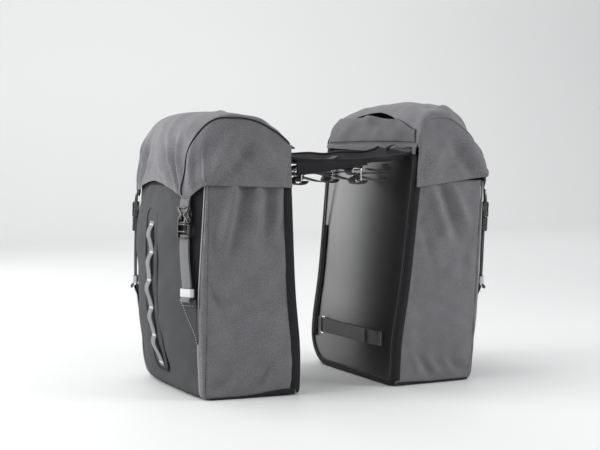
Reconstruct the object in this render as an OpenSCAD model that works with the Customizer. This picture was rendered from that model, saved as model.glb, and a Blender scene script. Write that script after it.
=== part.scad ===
// Double pannier: two lidded bags joined by a fabric bridge that lies over a bicycle's rack.
// +X runs from the left bag to the right bag, +Y along the bicycle, +Z up; z = 0 is the floor.
// Each bag is drawn once, in bag space: u runs outward from the middle of the pair, y and z as above.

/* [Bags] */
// Length of a bag along the bicycle at its back panel
back_length = 322; // [290:1:330]
// Length of a bag between its two outer seams
seam_length = 300; // [280:1:310]
// Depth of a bag at the floor, from back panel to outer seam
floor_depth = 160; // [150:1:175]
// Depth of a bag at the top of its walls, from back panel to outer seam
top_depth = 141; // [130:1:150]
// Height of the sewn walls
wall_height = 345; // [330:1:350]
// Height of the back panel
back_height = 404; // [400:1:406]
// How far the front panel bellies out past the outer seams
front_bulge = 40; // [15:1:44]
// Distance between the two back panels at the floor
rack_gap = 180; // [170:1:200]
// Outward lean of the left bag in degrees
left_lean = 0.5; // [0:0.5:3]
// Outward lean of the right bag in degrees
right_lean = 5; // [0:0.5:6]

/* [Fabric] */
// Thickness of a sewn wall with its coating
wall_t = 3; // [2:0.5:4]
// Thickness of the lid
lid_t = 2.5; // [2:0.5:3]
// Gap between the walls and the lid that slips over them
lid_gap = 1.2; // [1:0.1:2]

/* [Lid] */
// Height of the left lid's crown over its hinge line
left_crown = 57; // [45:1:76]
// Height of the right lid's crown over its hinge line
right_crown = 73; // [45:1:76]
// Height of the hem at the ends
hem_z = 347; // [340:1:352]
// Extra drop of the hem at the two strap corners
hem_drop = 20; // [0:1:24]

/* [Webbing] */
// Width of the closing straps and the daisy chain
web_w = 20; // [15:1:25]
// Width of the rack straps
rack_web_w = 25; // [20:1:30]
// Thickness of all webbing
web_t = 1.5; // [1:0.1:2]
// Pitch of the daisy chain's bar tacks
tack_pitch = 47; // [40:1:50]

/* [Hidden] */
$fn = 48;
pair_shift = -9.5;             // puts the middle of the whole pair over the origin
taper = (floor_depth - top_depth) / 2 / wall_height;
back_half = back_length / 2;
seam_half = seam_length / 2;
foot_r = 14;                  // rounding where walls meet the base
lid_hinge_z = 412;
bag_hinge_z = 405;
hem_corner = 0.82;            // strap corner, as a share of half the seam length
strap_y = hem_corner * seam_half;
heel_r = 50;                  // rounding of the far bottom edge, which clears the rider's heel
strap_turn = 24;              // the straps face this far towards the ends, degrees
strap_foot_z = 158;           // top of the sewn anchor, where a closing strap bends
buckle_z = 262;               // bottom of the buckle's lower half
cord_d = 3;
sleeve_y = 137;               // near side of the cord sleeve on the back panel
sleeve_w = 15;

// ---- Shape of a bag: every function works in bag space
// Two special variables set by on_side() differ from bag to bag: $lean, its lean, and $crown, its lid's height

function lean_u(z) = tan($lean) * z;
function foot_in(z) = z < foot_r ? foot_r * (1 - sqrt(max(0, 1 - pow(1 - z / foot_r, 2)))) : 0;
function inner_u(z) = rack_gap / 2 + taper * z + lean_u(z);
function outer_u(z) = rack_gap / 2 + floor_depth - taper * z + lean_u(z) - foot_in(z);
function wall_half(share) = back_half + (seam_half - back_half) * share;
function heel_in(z) = z < heel_r ? heel_r * (1 - sqrt(max(0, 1 - pow(1 - z / heel_r, 2)))) : 0;
function share_at(u, z) = (u - inner_u(z)) / (outer_u(z) - inner_u(z));
function unit(v) = v / norm(v);

// Belly of the front panel: small at the floor, full at mid height, a little less under the lid
function belly(z) =
    front_bulge * (0.22 + 0.78 * sin(90 * min(1, z / 190))) * (1 - 0.16 * max(0, (z - 260) / 90));
function front_u(s, z) = outer_u(z) + belly(z) * pow(max(0, 1 - pow(abs(s), 3.2)), 0.72);
function front_point(s, z) = [front_u(s, z), s * seam_half - max(0, s) * heel_in(z), z];
function front_normal(s, z) =
    let (a = front_point(max(-1, s - 0.02), z), b = front_point(min(1, s + 0.02), z))
    unit([b[1] - a[1], a[0] - b[0], 0]);

// front panel, t runs up and s from the near seam to the far seam
front_wall = function(s, t, offset) let (a = 2 * s - 1, z = wall_t + t * (wall_height - 3 - wall_t))
    front_point(a, z) + offset * front_normal(a, z);
// end panel of side -1 (near) or 1 (far), s runs from the back panel to the outer seam
end_wall = function(side, s, t, offset) let (
        z = wall_t + t * (wall_height - wall_t),
        share = 0.04 + 0.94 * s)
    [inner_u(z) + share * (outer_u(z) - inner_u(z)),
        side * (wall_half(share) + offset) - max(0, side) * heel_in(z), z];

// A curved skin between two offsets of a face: face_at(s, t, offset) with s and t from 0 to 1
module skin(face_at, cols, rows, low, high) {
    pts = [for (h = [high, low]) for (j = [0:rows]) for (i = [0:cols]) face_at(i / cols, j / rows, h)];
    row = cols + 1;
    n = row * (rows + 1);
    middle = face_at(0.5, 0.5, low);
    along = face_at(0.51, 0.5, low) - middle;
    up = face_at(0.5, 0.51, low) - middle;
    flip = cross(along, up) * (face_at(0.5, 0.5, high) - middle) < 0;
    sides = concat(
        [for (j = [0:rows - 1]) for (i = [0:cols - 1]) let (a = j * row + i) [a, a + row, a + row + 1, a + 1]],
        [for (j = [0:rows - 1]) for (i = [0:cols - 1]) let (a = n + j * row + i) [a, a + 1, a + row + 1, a + row]],
        [for (i = [0:cols - 1]) [i, i + 1, n + i + 1, n + i]],
        [for (i = [0:cols - 1]) let (a = rows * row + i) [a, n + a, n + a + 1, a + 1]],
        [for (j = [0:rows - 1]) let (a = j * row) [a, n + a, n + a + row, a + row]],
        [for (j = [0:rows - 1]) let (a = j * row + cols) [a, a + row, n + a + row, n + a]]);
    tris = [for (q = sides) each [[q[0], q[1], q[2]], [q[0], q[2], q[3]]]];
    polyhedron(pts, [for (q = tris) flip ? [q[2], q[1], q[0]] : q]);
}

// A tube of 8 sides through a list of points
module tube(path, d) {
    last = len(path) - 1;
    dir = [for (i = [0:last]) unit(path[min(i + 1, last)] - path[max(i - 1, 0)])];
    side = [for (v = dir) unit(cross(v, abs(v[1]) > 0.9 ? [0, 0, 1] : [0, 1, 0]))];
    pts = [for (i = [0:last]) for (k = [0:7])
        path[i] + d / 2 * (cos(45 * k) * side[i] + sin(45 * k) * cross(dir[i], side[i]))];
    walls = [for (i = [0:last - 1]) for (k = [0:7]) let (a = 8 * i + k, b = 8 * i + (k + 1) % 8)
        each [[a, a + 8, b + 8], [a, b + 8, b]]];
    polyhedron(pts, concat(walls, [[for (k = [0:7]) k]], [[for (k = [7:-1:0]) 8 * last + k]]));
}

// Rounded rectangle with its lower left corner at the origin and one radius a corner, anticlockwise
module rounded(w, h, radii) {
    corners = [[radii[0], radii[0], 180], [w - radii[1], radii[1], 270],
        [w - radii[2], h - radii[2], 0], [radii[3], h - radii[3], 90]];
    polygon([for (k = [0:3]) for (a = [0:15:90])
        [corners[k][0] + radii[k] * cos(corners[k][2] + a),
            corners[k][1] + radii[k] * sin(corners[k][2] + a)]]);
}

// A strip of thickness t along a list of 2D points, which thickens to the right of the direction of travel
module strip(path, t) {
    last = len(path) - 1;
    dir = [for (i = [0:last]) unit(path[min(i + 1, last)] - path[max(i - 1, 0)])];
    polygon(concat(path, [for (i = [last:-1:0]) path[i] + t * [dir[i][1], -dir[i][0]]]));
}

// Places children drawn in the XY plane as a u-z outline, w wide along y and centred there
module across_y(w) { translate([0, w / 2, 0]) rotate([90, 0, 0]) linear_extrude(w) children(); }

// Back panel space: x along y from the near edge, y up the panel, z = 0 on the face that meets the rack
module on_back() {
    translate([rack_gap / 2, 0, 0]) rotate([0, atan(taper + tan($lean)), 0]) rotate([90, 0, 90])
        children();
}

// Strap space: x out of the bag, y along the webbing's width, z up the webbing to height z of the bag.
// It starts on the front panel where the strap bends, and follows the panel up to the buckle.
function strap_tilt() = atan((front_u(hem_corner, buckle_z + 28) - front_u(hem_corner, strap_foot_z))
    / (buckle_z + 28 - strap_foot_z));
module at_strap(side, z) {
    translate([front_u(hem_corner, strap_foot_z), side * strap_y, strap_foot_z])
        rotate([0, strap_tilt(), side * strap_turn]) translate([0, 0, z - strap_foot_z]) children();
}

module on_side(side) {
    $lean = side < 0 ? left_lean : right_lean;
    $crown = side < 0 ? left_crown : right_crown;
    translate([pair_shift, 0, 0]) mirror([side < 0 ? 1 : 0, 0, 0]) children();
}

// ---- Sewn shell of a bag

module back_panel() {
    color("#202124") on_back() translate([-back_half + 8, 8, 0])
        linear_extrude(2.4) rounded(back_length - 16, back_height - 14, [6, heel_r + 6, 18, 18]);
}

module stiffener_boards() {
    color("#3a3c3f") {
        on_back() translate([-back_half + 16, 14, 2.6])
            linear_extrude(2) rounded(back_length - 32, wall_height - 24, [6, heel_r, 10, 10]);
        translate([rack_gap / 2 + 12, -seam_half + 12, wall_t + 0.2])
            linear_extrude(2) rounded(floor_depth - 34, seam_length - 24 - heel_r * 0.7, [6, 10, 10, 6]);
    }
}

module edge_binding() {
    color("#17181a") on_back() translate([0, 0, -0.6]) linear_extrude(4.4) difference() {
        translate([-back_half, 1, 0]) rounded(back_length, back_height - 1, [8, heel_r + 12, 22, 22]);
        translate([-back_half + 8, 8, 0]) rounded(back_length - 16, back_height - 14, [6, heel_r + 6, 18, 18]);
    }
}

module front_panel() { color("#5e6063") skin(front_wall, 20, 9, -wall_t, 0); }

module end_panel(side) {
    color("#66676b") skin(function(s, t, offset) end_wall(side, s, t, offset), 4, 7, -wall_t, 0);
}

module base_panel() {
    outline = concat([[inner_u(0) + 5, -back_half + 8]],
        [for (s = [-1:0.1:1.01]) let (p = front_point(s, wall_t)) [p[0] - 1, p[1] * 0.985]],
        [[inner_u(0) + 5, back_half - 8 - heel_in(wall_t)]]);
    color("#17181a") linear_extrude(wall_t) polygon(outline);
}

// ---- Collar under the lid with its drawcord

collar_low = wall_height - 22;
collar_high = 392;
collar_ring = function(a, z, inset) let (
        near_u = inner_u(z) + 10 + inset, far_u = outer_u(z) - 9 - inset, half = seam_half - 12 - inset,
        mid = (near_u + far_u) / 2, ru = (far_u - near_u) / 2, c = cos(360 * a), d = sin(360 * a))
    [mid + ru * sign(c) * pow(abs(c), 0.35), half * sign(d) * pow(abs(d), 0.35), z];

module collar() {
    ring = 32;
    z_of = [collar_low, collar_high];
    pts = [for (inset = [0, 2]) for (j = [0, 1]) for (i = [0:ring - 1])
        collar_ring(i / ring, z_of[j], inset + 6 * j)];
    quads = [for (i = [0:ring - 1]) let (k = (i + 1) % ring) each [
        [i, i + ring, k + ring, k], [2 * ring + i, 2 * ring + k, 3 * ring + k, 3 * ring + i],
        [i, k, 2 * ring + k, 2 * ring + i], [ring + i, 3 * ring + i, 3 * ring + k, ring + k]]];
    color("#1d1e20") polyhedron(pts, [for (q = quads) each [[q[0], q[1], q[2]], [q[0], q[2], q[3]]]]);
}

module drawcord() {
    ring = 32;
    path = [for (i = [1:ring - 1]) collar_ring(i / ring, collar_high + 2, 6.5)];
    color("#101112") tube(path, 2.6);
}

// The lock sits in the gap of the drawcord, at the outer middle of the collar
module at_lock() { translate([outer_u(collar_high + 2) - 20, 0, collar_high + 9]) children(); }

module cord_lock() {
    color("#141516") at_lock() difference() {
        union() {
            cylinder(h = 16, d = 15, center = true);
            translate([-5, 0, 0]) cube([10, 12, 14], center = true);
        }
        translate([0, 0, -5]) cylinder(h = 20, d = 9);
    }
}

module lock_plunger() {
    color("#2a2b2d") at_lock() {
        translate([0, 0, -1]) cylinder(h = 14, d = 8.9);
        translate([0, 0, 11]) cylinder(h = 3, d = 11);
    }
}

// ---- Daisy chain on the front panel

tack_top = 279;
patch_top = 305;
patch_low = 32;
patch_t = 1.6;

module chain_patch() {
    face = [for (i = [0:14]) let (z = patch_low + (patch_top - patch_low) * i / 14) [front_u(0, z) + 0.3, z]];
    color("#63656a") intersection() {
        across_y(80) strip(face, patch_t);
        translate([100, -29, patch_low]) rotate([90, 0, 90])
            linear_extrude(300) rounded(58, patch_top - patch_low, [12, 12, 12, 12]);
    }
}

module daisy_chain() {
    steps = 6;
    chain = [for (i = [0:5 * steps]) let (
            z = tack_top - 5 * tack_pitch + i * tack_pitch / steps, lift = 2.6 * abs(sin(180 * i / steps)))
        [front_u(0, z) + 0.5 + patch_t + lift, z]];
    color("#8b8c8f") across_y(web_w) strip(chain, web_t);
}

// ---- Closing straps: lid tab, buckle, webbing and sewn anchor

module strap_anchors() {
    color("#77787b") for (side = [-1, 1]) at_strap(side, strap_foot_z - 3.5) {
        translate([5.5, 0, 0]) rotate([0, 90, 0]) linear_extrude(web_t)
            polygon([[0, -web_w / 2], [64, side * 20 - 2], [64, side * 20 + 2], [0, web_w / 2]]);
    }
}

module straps() {
    color("#85868a") for (side = [-1, 1]) at_strap(side, strap_foot_z) {
        translate([5.2, -web_w / 2, 2]) cube([web_t, web_w, buckle_z + 4 - strap_foot_z]);
        translate([7.3, -web_w / 2, 5]) cube([web_t, web_w, buckle_z + 5 - strap_foot_z - 5]);
    }
}

module keepers() {
    color("#e6e7e8") for (side = [-1, 1]) at_strap(side, strap_foot_z + 26) translate([7, 0, 0]) difference() {
        cube([6.4, web_w + 3.4, 13], center = true);
        cube([4.2, web_w + 1, 15], center = true);
    }
}

module male_buckle(side) {
    color("#1a1b1d") at_strap(side, buckle_z) translate([7, 0, 0]) {
        difference() {
            translate([0, 0, 12]) cube([8.4, 24, 24], center = true);
            translate([0, 0, 10]) cube([4.4, web_w + 1, 22], center = true);
        }
        for (k = [-1, 1]) translate([0, k * 7.6, 28.5]) cube([3.2, 3.6, 10], center = true);
        translate([0, 0, 27]) cube([3.2, 5, 8], center = true);
    }
}

module female_buckles() {
    color("#1a1b1d") for (side = [-1, 1]) at_strap(side, buckle_z) translate([7, 0, 24.6]) difference() {
        translate([0, 0, 13]) cube([9, 26, 26], center = true);
        translate([0, 0, 6.5]) cube([5.6, 21.6, 15], center = true);
        translate([0, 0, 21]) cube([4.4, web_w + 1, 14], center = true);
    }
}

module lid_tabs() {
    color("#85868a") for (side = [-1, 1]) at_strap(side, buckle_z + 42)
        translate([6.2, -web_w / 2, 0]) cube([web_t, web_w, 26]);
}

// ---- Lid

function hem_at(t) = hem_z - hem_drop * exp(-pow((abs(t) - hem_corner) / 0.13, 2));
// u-z outline of the lid at cross position t: quarter arcs over the top, then straight down the front
lid_over = lid_gap + wall_t;
function lid_low_u(z) = inner_u(z) + 0.5;
function lid_arc(s, t, offset) =
    let (a = 180 - 180 * s / 0.78, near_u = lid_low_u(lid_hinge_z), far_u = front_u(t, 400) + lid_over,
        mid = (near_u + far_u) / 2, ru = (far_u - near_u) / 2 + offset,
        rise = $crown * (0.8 + 0.2 * (1 - t * t)) + offset,
        base_z = s < 0.39 ? lid_hinge_z : 398, top_z = lid_hinge_z + rise)
    [mid + ru * sign(cos(a)) * pow(abs(cos(a)), 0.8), base_z + (top_z - base_z) * pow(abs(sin(a)), 0.8)];
function lid_front(s, t, offset) =
    let (z = 398 - (398 - hem_at(t)) * (s - 0.78) / 0.22) [front_u(t, z) + lid_over + offset, z];
lid_top = function(s, t, offset) let (
        cross_t = 2 * t - 1,
        p = s < 0.78 ? lid_arc(s, cross_t, offset) : lid_front(s, cross_t, offset),
        share = min(1.05, max(0, share_at(p[0], wall_height))))
    [p[0], cross_t * (wall_half(share) + lid_over), p[1]];
// end skirt, s along the arc and t down to the hem
lid_skirt = function(side, s, t, offset) let (
        p = lid_arc(0.01 + 0.76 * s, 1, -lid_t - 0.4),
        hem_u = inner_u(hem_z) + 5 + s * (outer_u(hem_z) - inner_u(hem_z) - 2),
        u = p[0] + (hem_u - p[0]) * t, z = p[1] + (hem_z - p[1]) * t,
        share = min(1, max(0, share_at(u, z))))
    [u, side * (wall_half(share) + lid_gap + offset), z];

module lid() {
    color("#8f9093") {
        skin(lid_top, 26, 16, -lid_t, 0);
        for (side = [-1, 1])
            skin(function(s, t, offset) lid_skirt(side, s, t, offset), 12, 4, 0, lid_t - 0.4);
    }
}

module lid_piping() {
    color("#141516") for (side = [-1, 1])
        tube([for (s = [0.03:0.05:0.98]) lid_top(s, side < 0 ? 0 : 1, 2.4)], 3);
}

// ---- Back panel fittings

strap_z = 64;
module rack_strap() {
    color("#1c1d1f") on_back() {
        translate([0, strap_z, 0]) rotate([-90, 0, 0]) linear_extrude(rack_web_w) {
            translate([-119, 0.4]) square([16, 1.6]);
            translate([112, 0.4]) square([20, 1.6]);
            strip([[-105, 2.2], [-96, 3.4], [-40, 4.6], [30, 4.4], [84, 3.8], [98, 3.4]], -web_t);
            strip([[-60, 6.3], [30, 6.1], [84, 5.6], [98, 5.2]], -web_t);
        }
    }
}

module strap_ring() {
    color("#d8d9db") on_back() translate([98.5, strap_z - 4, -5]) linear_extrude(2.4) difference() {
        rounded(13, rack_web_w + 8, [2, 2, 2, 2]);
        translate([3, 3]) square([7, rack_web_w + 2]);
    }
}

module cord_sleeve() {
    color("#1c1d1f") on_back() difference() {
        translate([sleeve_y, heel_r, -5.4]) cube([sleeve_w, 212, 5]);
        translate([sleeve_y + sleeve_w / 2, heel_r - 10, -3]) rotate([-90, 0, 0])
            cylinder(h = 232, d = cord_d + 0.8);
    }
}

module elastic_cord() {
    color("#101112") on_back() translate([0, 0, -3]) {
        translate([sleeve_y + sleeve_w / 2, heel_r + 4, 0]) {
            rotate([-90, 0, 0]) cylinder(h = 214, d = cord_d);
            translate([0, 214, 0]) sphere(d = cord_d);
            translate([0, 214, 0]) rotate([-90, 0, 12]) cylinder(h = 96, d = cord_d);
        }
    }
}

// The handle is a flat loop that lies inward over the bridge
module grab_handle() {
    low = bag_hinge_z + 1.6;
    color("#141516") translate([inner_u(bag_hinge_z + 2) - 21, -148, low]) linear_extrude(3) difference() {
        rounded(20, 80, [6, 1, 1, 6]);
        translate([5, 6]) rounded(10, 68, [3, 3, 3, 3]);
    }
}

// ---- Bridge between the bags: drawn in world space

left_edge = -(rack_gap / 2 + (taper + tan(left_lean)) * 398) + pair_shift + 2.2;
right_edge = rack_gap / 2 + (taper + tan(right_lean)) * 398 + pair_shift - 2.2;
bridge_near = -146;
bridge_far = 62;
bridge_sag = 22;
bridge_t = 2.4;
span = right_edge - left_edge;
function bridge_z(x) = 401 - bridge_sag * pow(max(0, 1 - pow(abs(2 * (x - left_edge) / span - 1), 3)), 0.7);
bridge_line = [for (i = [0:20]) let (x = left_edge + span * i / 20) [x, bridge_z(x)]];

// plan outline: both long edges curve inward between the bags, the far one more
module bridge_plan(grow) {
    polygon(concat(
        [for (i = [0:16]) let (a = i / 16) [left_edge + span * a, bridge_near - grow + 6 * sin(180 * a)]],
        [for (i = [16:-1:0]) let (a = i / 16) [left_edge + span * a, bridge_far + grow - 34 * sin(180 * a)]]));
}

module bridge_panel() {
    color("#1b1c1e") {
        intersection() {
            across_y(500) strip(bridge_line, bridge_t);
            translate([0, 0, 300]) linear_extrude(150) bridge_plan(0);
        }
        translate([0, bridge_near + 7, 0]) across_y(2)
            polygon([[left_edge + 22, 378], [left_edge + 26, 352], [left_edge + 90, 358], [right_edge - 40, 366],
                [right_edge - 22, 378]]);
    }
}

module bridge_binding() {
    color("#101112") intersection() {
        across_y(500) strip([for (p = bridge_line) p + [0, 0.4]], bridge_t + 0.8);
        translate([0, 0, 300]) linear_extrude(150) difference() {
            bridge_plan(3);
            bridge_plan(0.05);
        }
    }
}

module bridge_webbing() {
    color("#26272a") for (y = [-104, -20]) translate([0, y, 0])
        across_y(rack_web_w) strip([for (i = [3:17]) bridge_line[i] + [0, 0.3]], -web_t);
}

loop_xs = [left_edge + 62, right_edge - 62];
loop_ys = [-116, -8];
loop_z = 377;
module rack_loops() {
    color("#1a1b1d") for (x = loop_xs) for (y = loop_ys) translate([x, y, loop_z - 4.5]) across_y(rack_web_w) {
        strip([[-26, -6], [-24, 0.2], [-10, 1.6], [20, 1.6], [32, -2], [34, -9], [29, -15], [20, -17], [0, -16.4],
            [-20, -17]], 1.5);
    }
}

module rack_rings(x) {
    color("#d8d9db") for (y = loop_ys) translate([x - 29, y, loop_z - 14]) across_y(2.4 + rack_web_w)
        difference() {
            square([3, 22], center = true);
            square([1.2, 10], center = true);
        }
}

on_side(-1) back_panel();  // left_back_panel
on_side(-1) stiffener_boards();  // left_stiffener_boards
on_side(-1) edge_binding();  // left_edge_binding
on_side(-1) front_panel();  // left_front_panel
on_side(-1) end_panel(-1);  // left_near_end_panel
on_side(-1) end_panel(1);  // left_far_end_panel
on_side(-1) base_panel();  // left_base_panel
on_side(-1) collar();  // left_collar
on_side(-1) drawcord();  // left_drawcord
on_side(-1) cord_lock();  // left_cord_lock
on_side(-1) lock_plunger();  // left_lock_plunger
on_side(-1) chain_patch();  // left_chain_patch
on_side(-1) daisy_chain();  // left_daisy_chain
on_side(-1) strap_anchors();  // left_strap_anchors
on_side(-1) rack_strap();  // left_rack_strap
on_side(-1) strap_ring();  // left_strap_ring
on_side(-1) cord_sleeve();  // left_cord_sleeve
on_side(-1) elastic_cord();  // left_elastic_cord
on_side(-1) lid();  // left_lid
on_side(-1) lid_piping();  // left_lid_piping
on_side(-1) lid_tabs();  // left_lid_tabs
on_side(-1) female_buckles();  // left_female_buckles
on_side(-1) straps();  // left_straps
on_side(-1) male_buckle(-1);  // left_near_male_buckle
on_side(-1) male_buckle(1);  // left_far_male_buckle
on_side(-1) keepers();  // left_keepers
on_side(-1) grab_handle();  // left_grab_handle
on_side(1) back_panel();  // right_back_panel
on_side(1) stiffener_boards();  // right_stiffener_boards
on_side(1) edge_binding();  // right_edge_binding
on_side(1) front_panel();  // right_front_panel
on_side(1) end_panel(-1);  // right_near_end_panel
on_side(1) end_panel(1);  // right_far_end_panel
on_side(1) base_panel();  // right_base_panel
on_side(1) collar();  // right_collar
on_side(1) drawcord();  // right_drawcord
on_side(1) cord_lock();  // right_cord_lock
on_side(1) lock_plunger();  // right_lock_plunger
on_side(1) chain_patch();  // right_chain_patch
on_side(1) daisy_chain();  // right_daisy_chain
on_side(1) strap_anchors();  // right_strap_anchors
on_side(1) rack_strap();  // right_rack_strap
on_side(1) strap_ring();  // right_strap_ring
on_side(1) cord_sleeve();  // right_cord_sleeve
on_side(1) elastic_cord();  // right_elastic_cord
on_side(1) lid();  // right_lid
on_side(1) lid_piping();  // right_lid_piping
on_side(1) lid_tabs();  // right_lid_tabs
on_side(1) female_buckles();  // right_female_buckles
on_side(1) straps();  // right_straps
on_side(1) male_buckle(-1);  // right_near_male_buckle
on_side(1) male_buckle(1);  // right_far_male_buckle
on_side(1) keepers();  // right_keepers
on_side(1) grab_handle();  // right_grab_handle
bridge_panel();
bridge_binding();
bridge_webbing();
rack_loops();
rack_rings(loop_xs[0]);  // left_rack_rings
rack_rings(loop_xs[1]);  // right_rack_rings
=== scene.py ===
import math
import bmesh
import bpy
import numpy as np
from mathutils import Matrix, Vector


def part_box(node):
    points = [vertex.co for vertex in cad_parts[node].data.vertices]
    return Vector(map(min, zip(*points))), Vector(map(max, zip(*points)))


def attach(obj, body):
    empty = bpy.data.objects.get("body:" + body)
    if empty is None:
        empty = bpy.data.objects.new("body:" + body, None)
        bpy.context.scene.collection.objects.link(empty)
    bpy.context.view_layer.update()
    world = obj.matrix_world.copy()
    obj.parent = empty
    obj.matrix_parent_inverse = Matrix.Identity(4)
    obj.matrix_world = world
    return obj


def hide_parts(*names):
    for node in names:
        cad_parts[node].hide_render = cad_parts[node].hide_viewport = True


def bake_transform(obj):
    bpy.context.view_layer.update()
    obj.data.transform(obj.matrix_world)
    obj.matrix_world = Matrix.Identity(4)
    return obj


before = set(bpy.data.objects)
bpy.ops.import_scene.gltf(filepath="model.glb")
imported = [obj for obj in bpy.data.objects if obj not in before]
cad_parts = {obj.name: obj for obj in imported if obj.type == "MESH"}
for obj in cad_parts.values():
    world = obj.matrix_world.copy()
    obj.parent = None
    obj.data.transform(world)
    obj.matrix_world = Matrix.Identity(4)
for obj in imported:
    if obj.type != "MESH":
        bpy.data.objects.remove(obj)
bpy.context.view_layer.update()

# ---- Camera: an 82 mm lens a little above the lids, looking along the pair from its near left.
camera_data = bpy.data.cameras.new("camera")
camera_data.lens = 82.5
camera_data.sensor_width = 36
camera = bpy.data.objects.new("camera", camera_data)
camera.location = (-1.0504, -2.2086, 0.4069)
camera.rotation_euler = (math.radians(90 - 3.18), 0, math.radians(-25.0))
bpy.context.scene.collection.objects.link(camera)
bpy.context.scene.camera = camera

# ---- Studio: a pale sweep of floor and backdrop in one sheet, lit by large soft lamps from the left,
# above and behind, so that the black back panels mirror the pale backdrop.
bpy.context.scene.view_settings.view_transform = "Standard"
world = bpy.data.worlds.new("studio_air")
world.use_nodes = True
world.node_tree.nodes["Background"].inputs["Color"].default_value = (0.86, 0.87, 0.88, 1)
world.node_tree.nodes["Background"].inputs["Strength"].default_value = 0.80
bpy.context.scene.world = world


def soft_lamp(name, place, aim, size, watts):
    data = bpy.data.lights.new(name, "AREA")
    data.shape = "RECTANGLE"
    data.size, data.size_y = size
    data.energy = watts
    lamp = bpy.data.objects.new(name, data)
    lamp.location = place
    way = np.subtract(aim, place)
    lamp.rotation_euler = (math.atan2(math.hypot(way[0], way[1]), -way[2]), 0, math.atan2(-way[0], way[1]))
    bpy.context.scene.collection.objects.link(lamp)


soft_lamp("left_window", (-2.7, 0.25, 1.2), (0, 0, 0.28), (1.7, 2.2), 71)
soft_lamp("top_softbox", (-0.7, 0.5, 2.7), (0, 0, 0.2), (1.8, 1.8), 26)
soft_lamp("rear_panel", (-1.15, 2.3, 0.9), (0.1, 0, 0.25), (1.2, 1.4), 16)
soft_lamp("backdrop_wash", (1.6, 2.2, 3.0), (1.6, 4.6, 1.1), (4.0, 0.6), 48)
soft_lamp("right_fill", (1.4, -1.1, 0.8), (0.2, -0.16, 0.25), (0.8, 0.8), 14)

BEND_Y, BEND_R = 3.6, 1.2       # where the floor starts to turn up, and the radius of the turn
sweep = [(-5.0, 0.0), (BEND_Y, 0.0)]
sweep += [(BEND_Y + BEND_R * math.sin(a), BEND_R - BEND_R * math.cos(a)) for a in np.linspace(0.1, math.pi / 2, 14)]
sweep += [(BEND_Y + BEND_R, 4.5)]
floor_mesh = bpy.data.meshes.new("floor")
floor_mesh.from_pydata(
    [(x, y, z) for y, z in sweep for x in (-6, 6)], [],
    [(2 * i, 2 * i + 1, 2 * i + 3, 2 * i + 2) for i in range(len(sweep) - 1)])
floor = bpy.data.objects.new("floor", floor_mesh)
bpy.context.scene.collection.objects.link(floor)
for polygon in floor_mesh.polygons:
    polygon.use_smooth = True
floor_paint = bpy.data.materials.new("studio_paper")
floor_paint.use_nodes = True
paper = floor_paint.node_tree.nodes["Principled BSDF"]
paper.inputs["Base Color"].default_value = (0.70, 0.70, 0.70, 1)
paper.inputs["Roughness"].default_value = 0.55
floor_mesh.materials.append(floor_paint)

# ---- Base panel: black coated cloth that forms the bottom of each bag and wraps a little way up its ends.
# It is sewn to every wall. The pattern of a whole bag is set out here, because all its walls start from it.
SIDES = {"left": -1, "right": 1}
RACK_GAP = 0.180             # between the two back panels at the floor
PAIR_SHIFT = -0.0095         # puts the middle of the pair over the origin
FLOOR_DEPTH = 0.160          # from back panel to outer seam at the floor
TAPER = 0.0275               # each side of a bag draws in this much for its height
LEAN = {"left": math.tan(math.radians(0.5)), "right": math.tan(math.radians(5))}
BACK_HALF = 0.161            # half the bag's length at its back panel
SEAM_HALF = 0.150            # and at its outer seams
FOOT_R = 0.014               # rounding where the front panel meets the base
HEEL_R = 0.050               # rounding of the far bottom corner
BELLY = {"left": 0.041, "right": 0.032}  # how far the front panel bulges at most
HEM_CORNER = 0.82            # strap corner, as a share of half the seam length
TWIST = {"left": 0.0, "right": 0.012}    # the far end of the right bag's top stands nearer to the rack
LID_HINGE = 0.412            # height of the seam that the lid turns on
CLOTH = 0.0012               # thickness of most cloth


def ease(a, b, x):
    k = np.clip((np.asarray(x, float) - a) / (b - a), 0, 1)
    return k * k * (3 - 2 * k)


def rounding(z, r):
    k = np.clip(1 - np.asarray(z, float) / r, 0, 1)
    return r * (1 - np.sqrt(1 - k * k))


def inner_u(bag, z):
    """How far out the back panel stands at height z; it bows in a little at the height of the lower strap."""
    z = np.asarray(z, float)
    return RACK_GAP / 2 + (TAPER + LEAN[bag]) * z - 0.0055 * np.exp(-((z - 0.075) / 0.07) ** 2)


def outer_u(bag, z):
    return RACK_GAP / 2 + FLOOR_DEPTH + (LEAN[bag] - TAPER) * np.asarray(z, float) - rounding(z, FOOT_R)


def front_u(bag, s, z):
    """How far out the front panel stands; s runs from -1 at the near seam to 1 at the far seam."""
    z = np.asarray(z, float)
    fill = (0.22 + 0.78 * np.sin(np.pi / 2 * np.minimum(1, z / 0.19))) * (1 - 1.8 * np.maximum(0, z - 0.26))
    return outer_u(bag, z) + BELLY[bag] * fill * np.maximum(0, 1 - np.abs(s) ** 3.2) ** 0.72


def place(bag, u, y, z):
    """World points of a bag's own points: u is the distance out from the middle of the pair."""
    u, y, z = np.broadcast_arrays(np.asarray(u, float), np.asarray(y, float), np.asarray(z, float))
    turned = u - TWIST[bag] * (y + BACK_HALF) / (2 * BACK_HALF) * z / LID_HINGE
    return np.stack([SIDES[bag] * turned + PAIR_SHIFT, y, z], -1)


def waves(a, b, length, seed, count=9):
    """Smooth random ripples of about one unit, over two coordinates in metres."""
    rng = np.random.default_rng(seed)
    total = 0
    for _ in range(count):
        way = rng.uniform(0, 2 * np.pi)
        k = 2 * np.pi / (length * rng.uniform(0.7, 1.6))
        total = total + np.sin(k * (a * np.cos(way) + b * np.sin(way)) + rng.uniform(0, 2 * np.pi))
    return total / math.sqrt(count)


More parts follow.
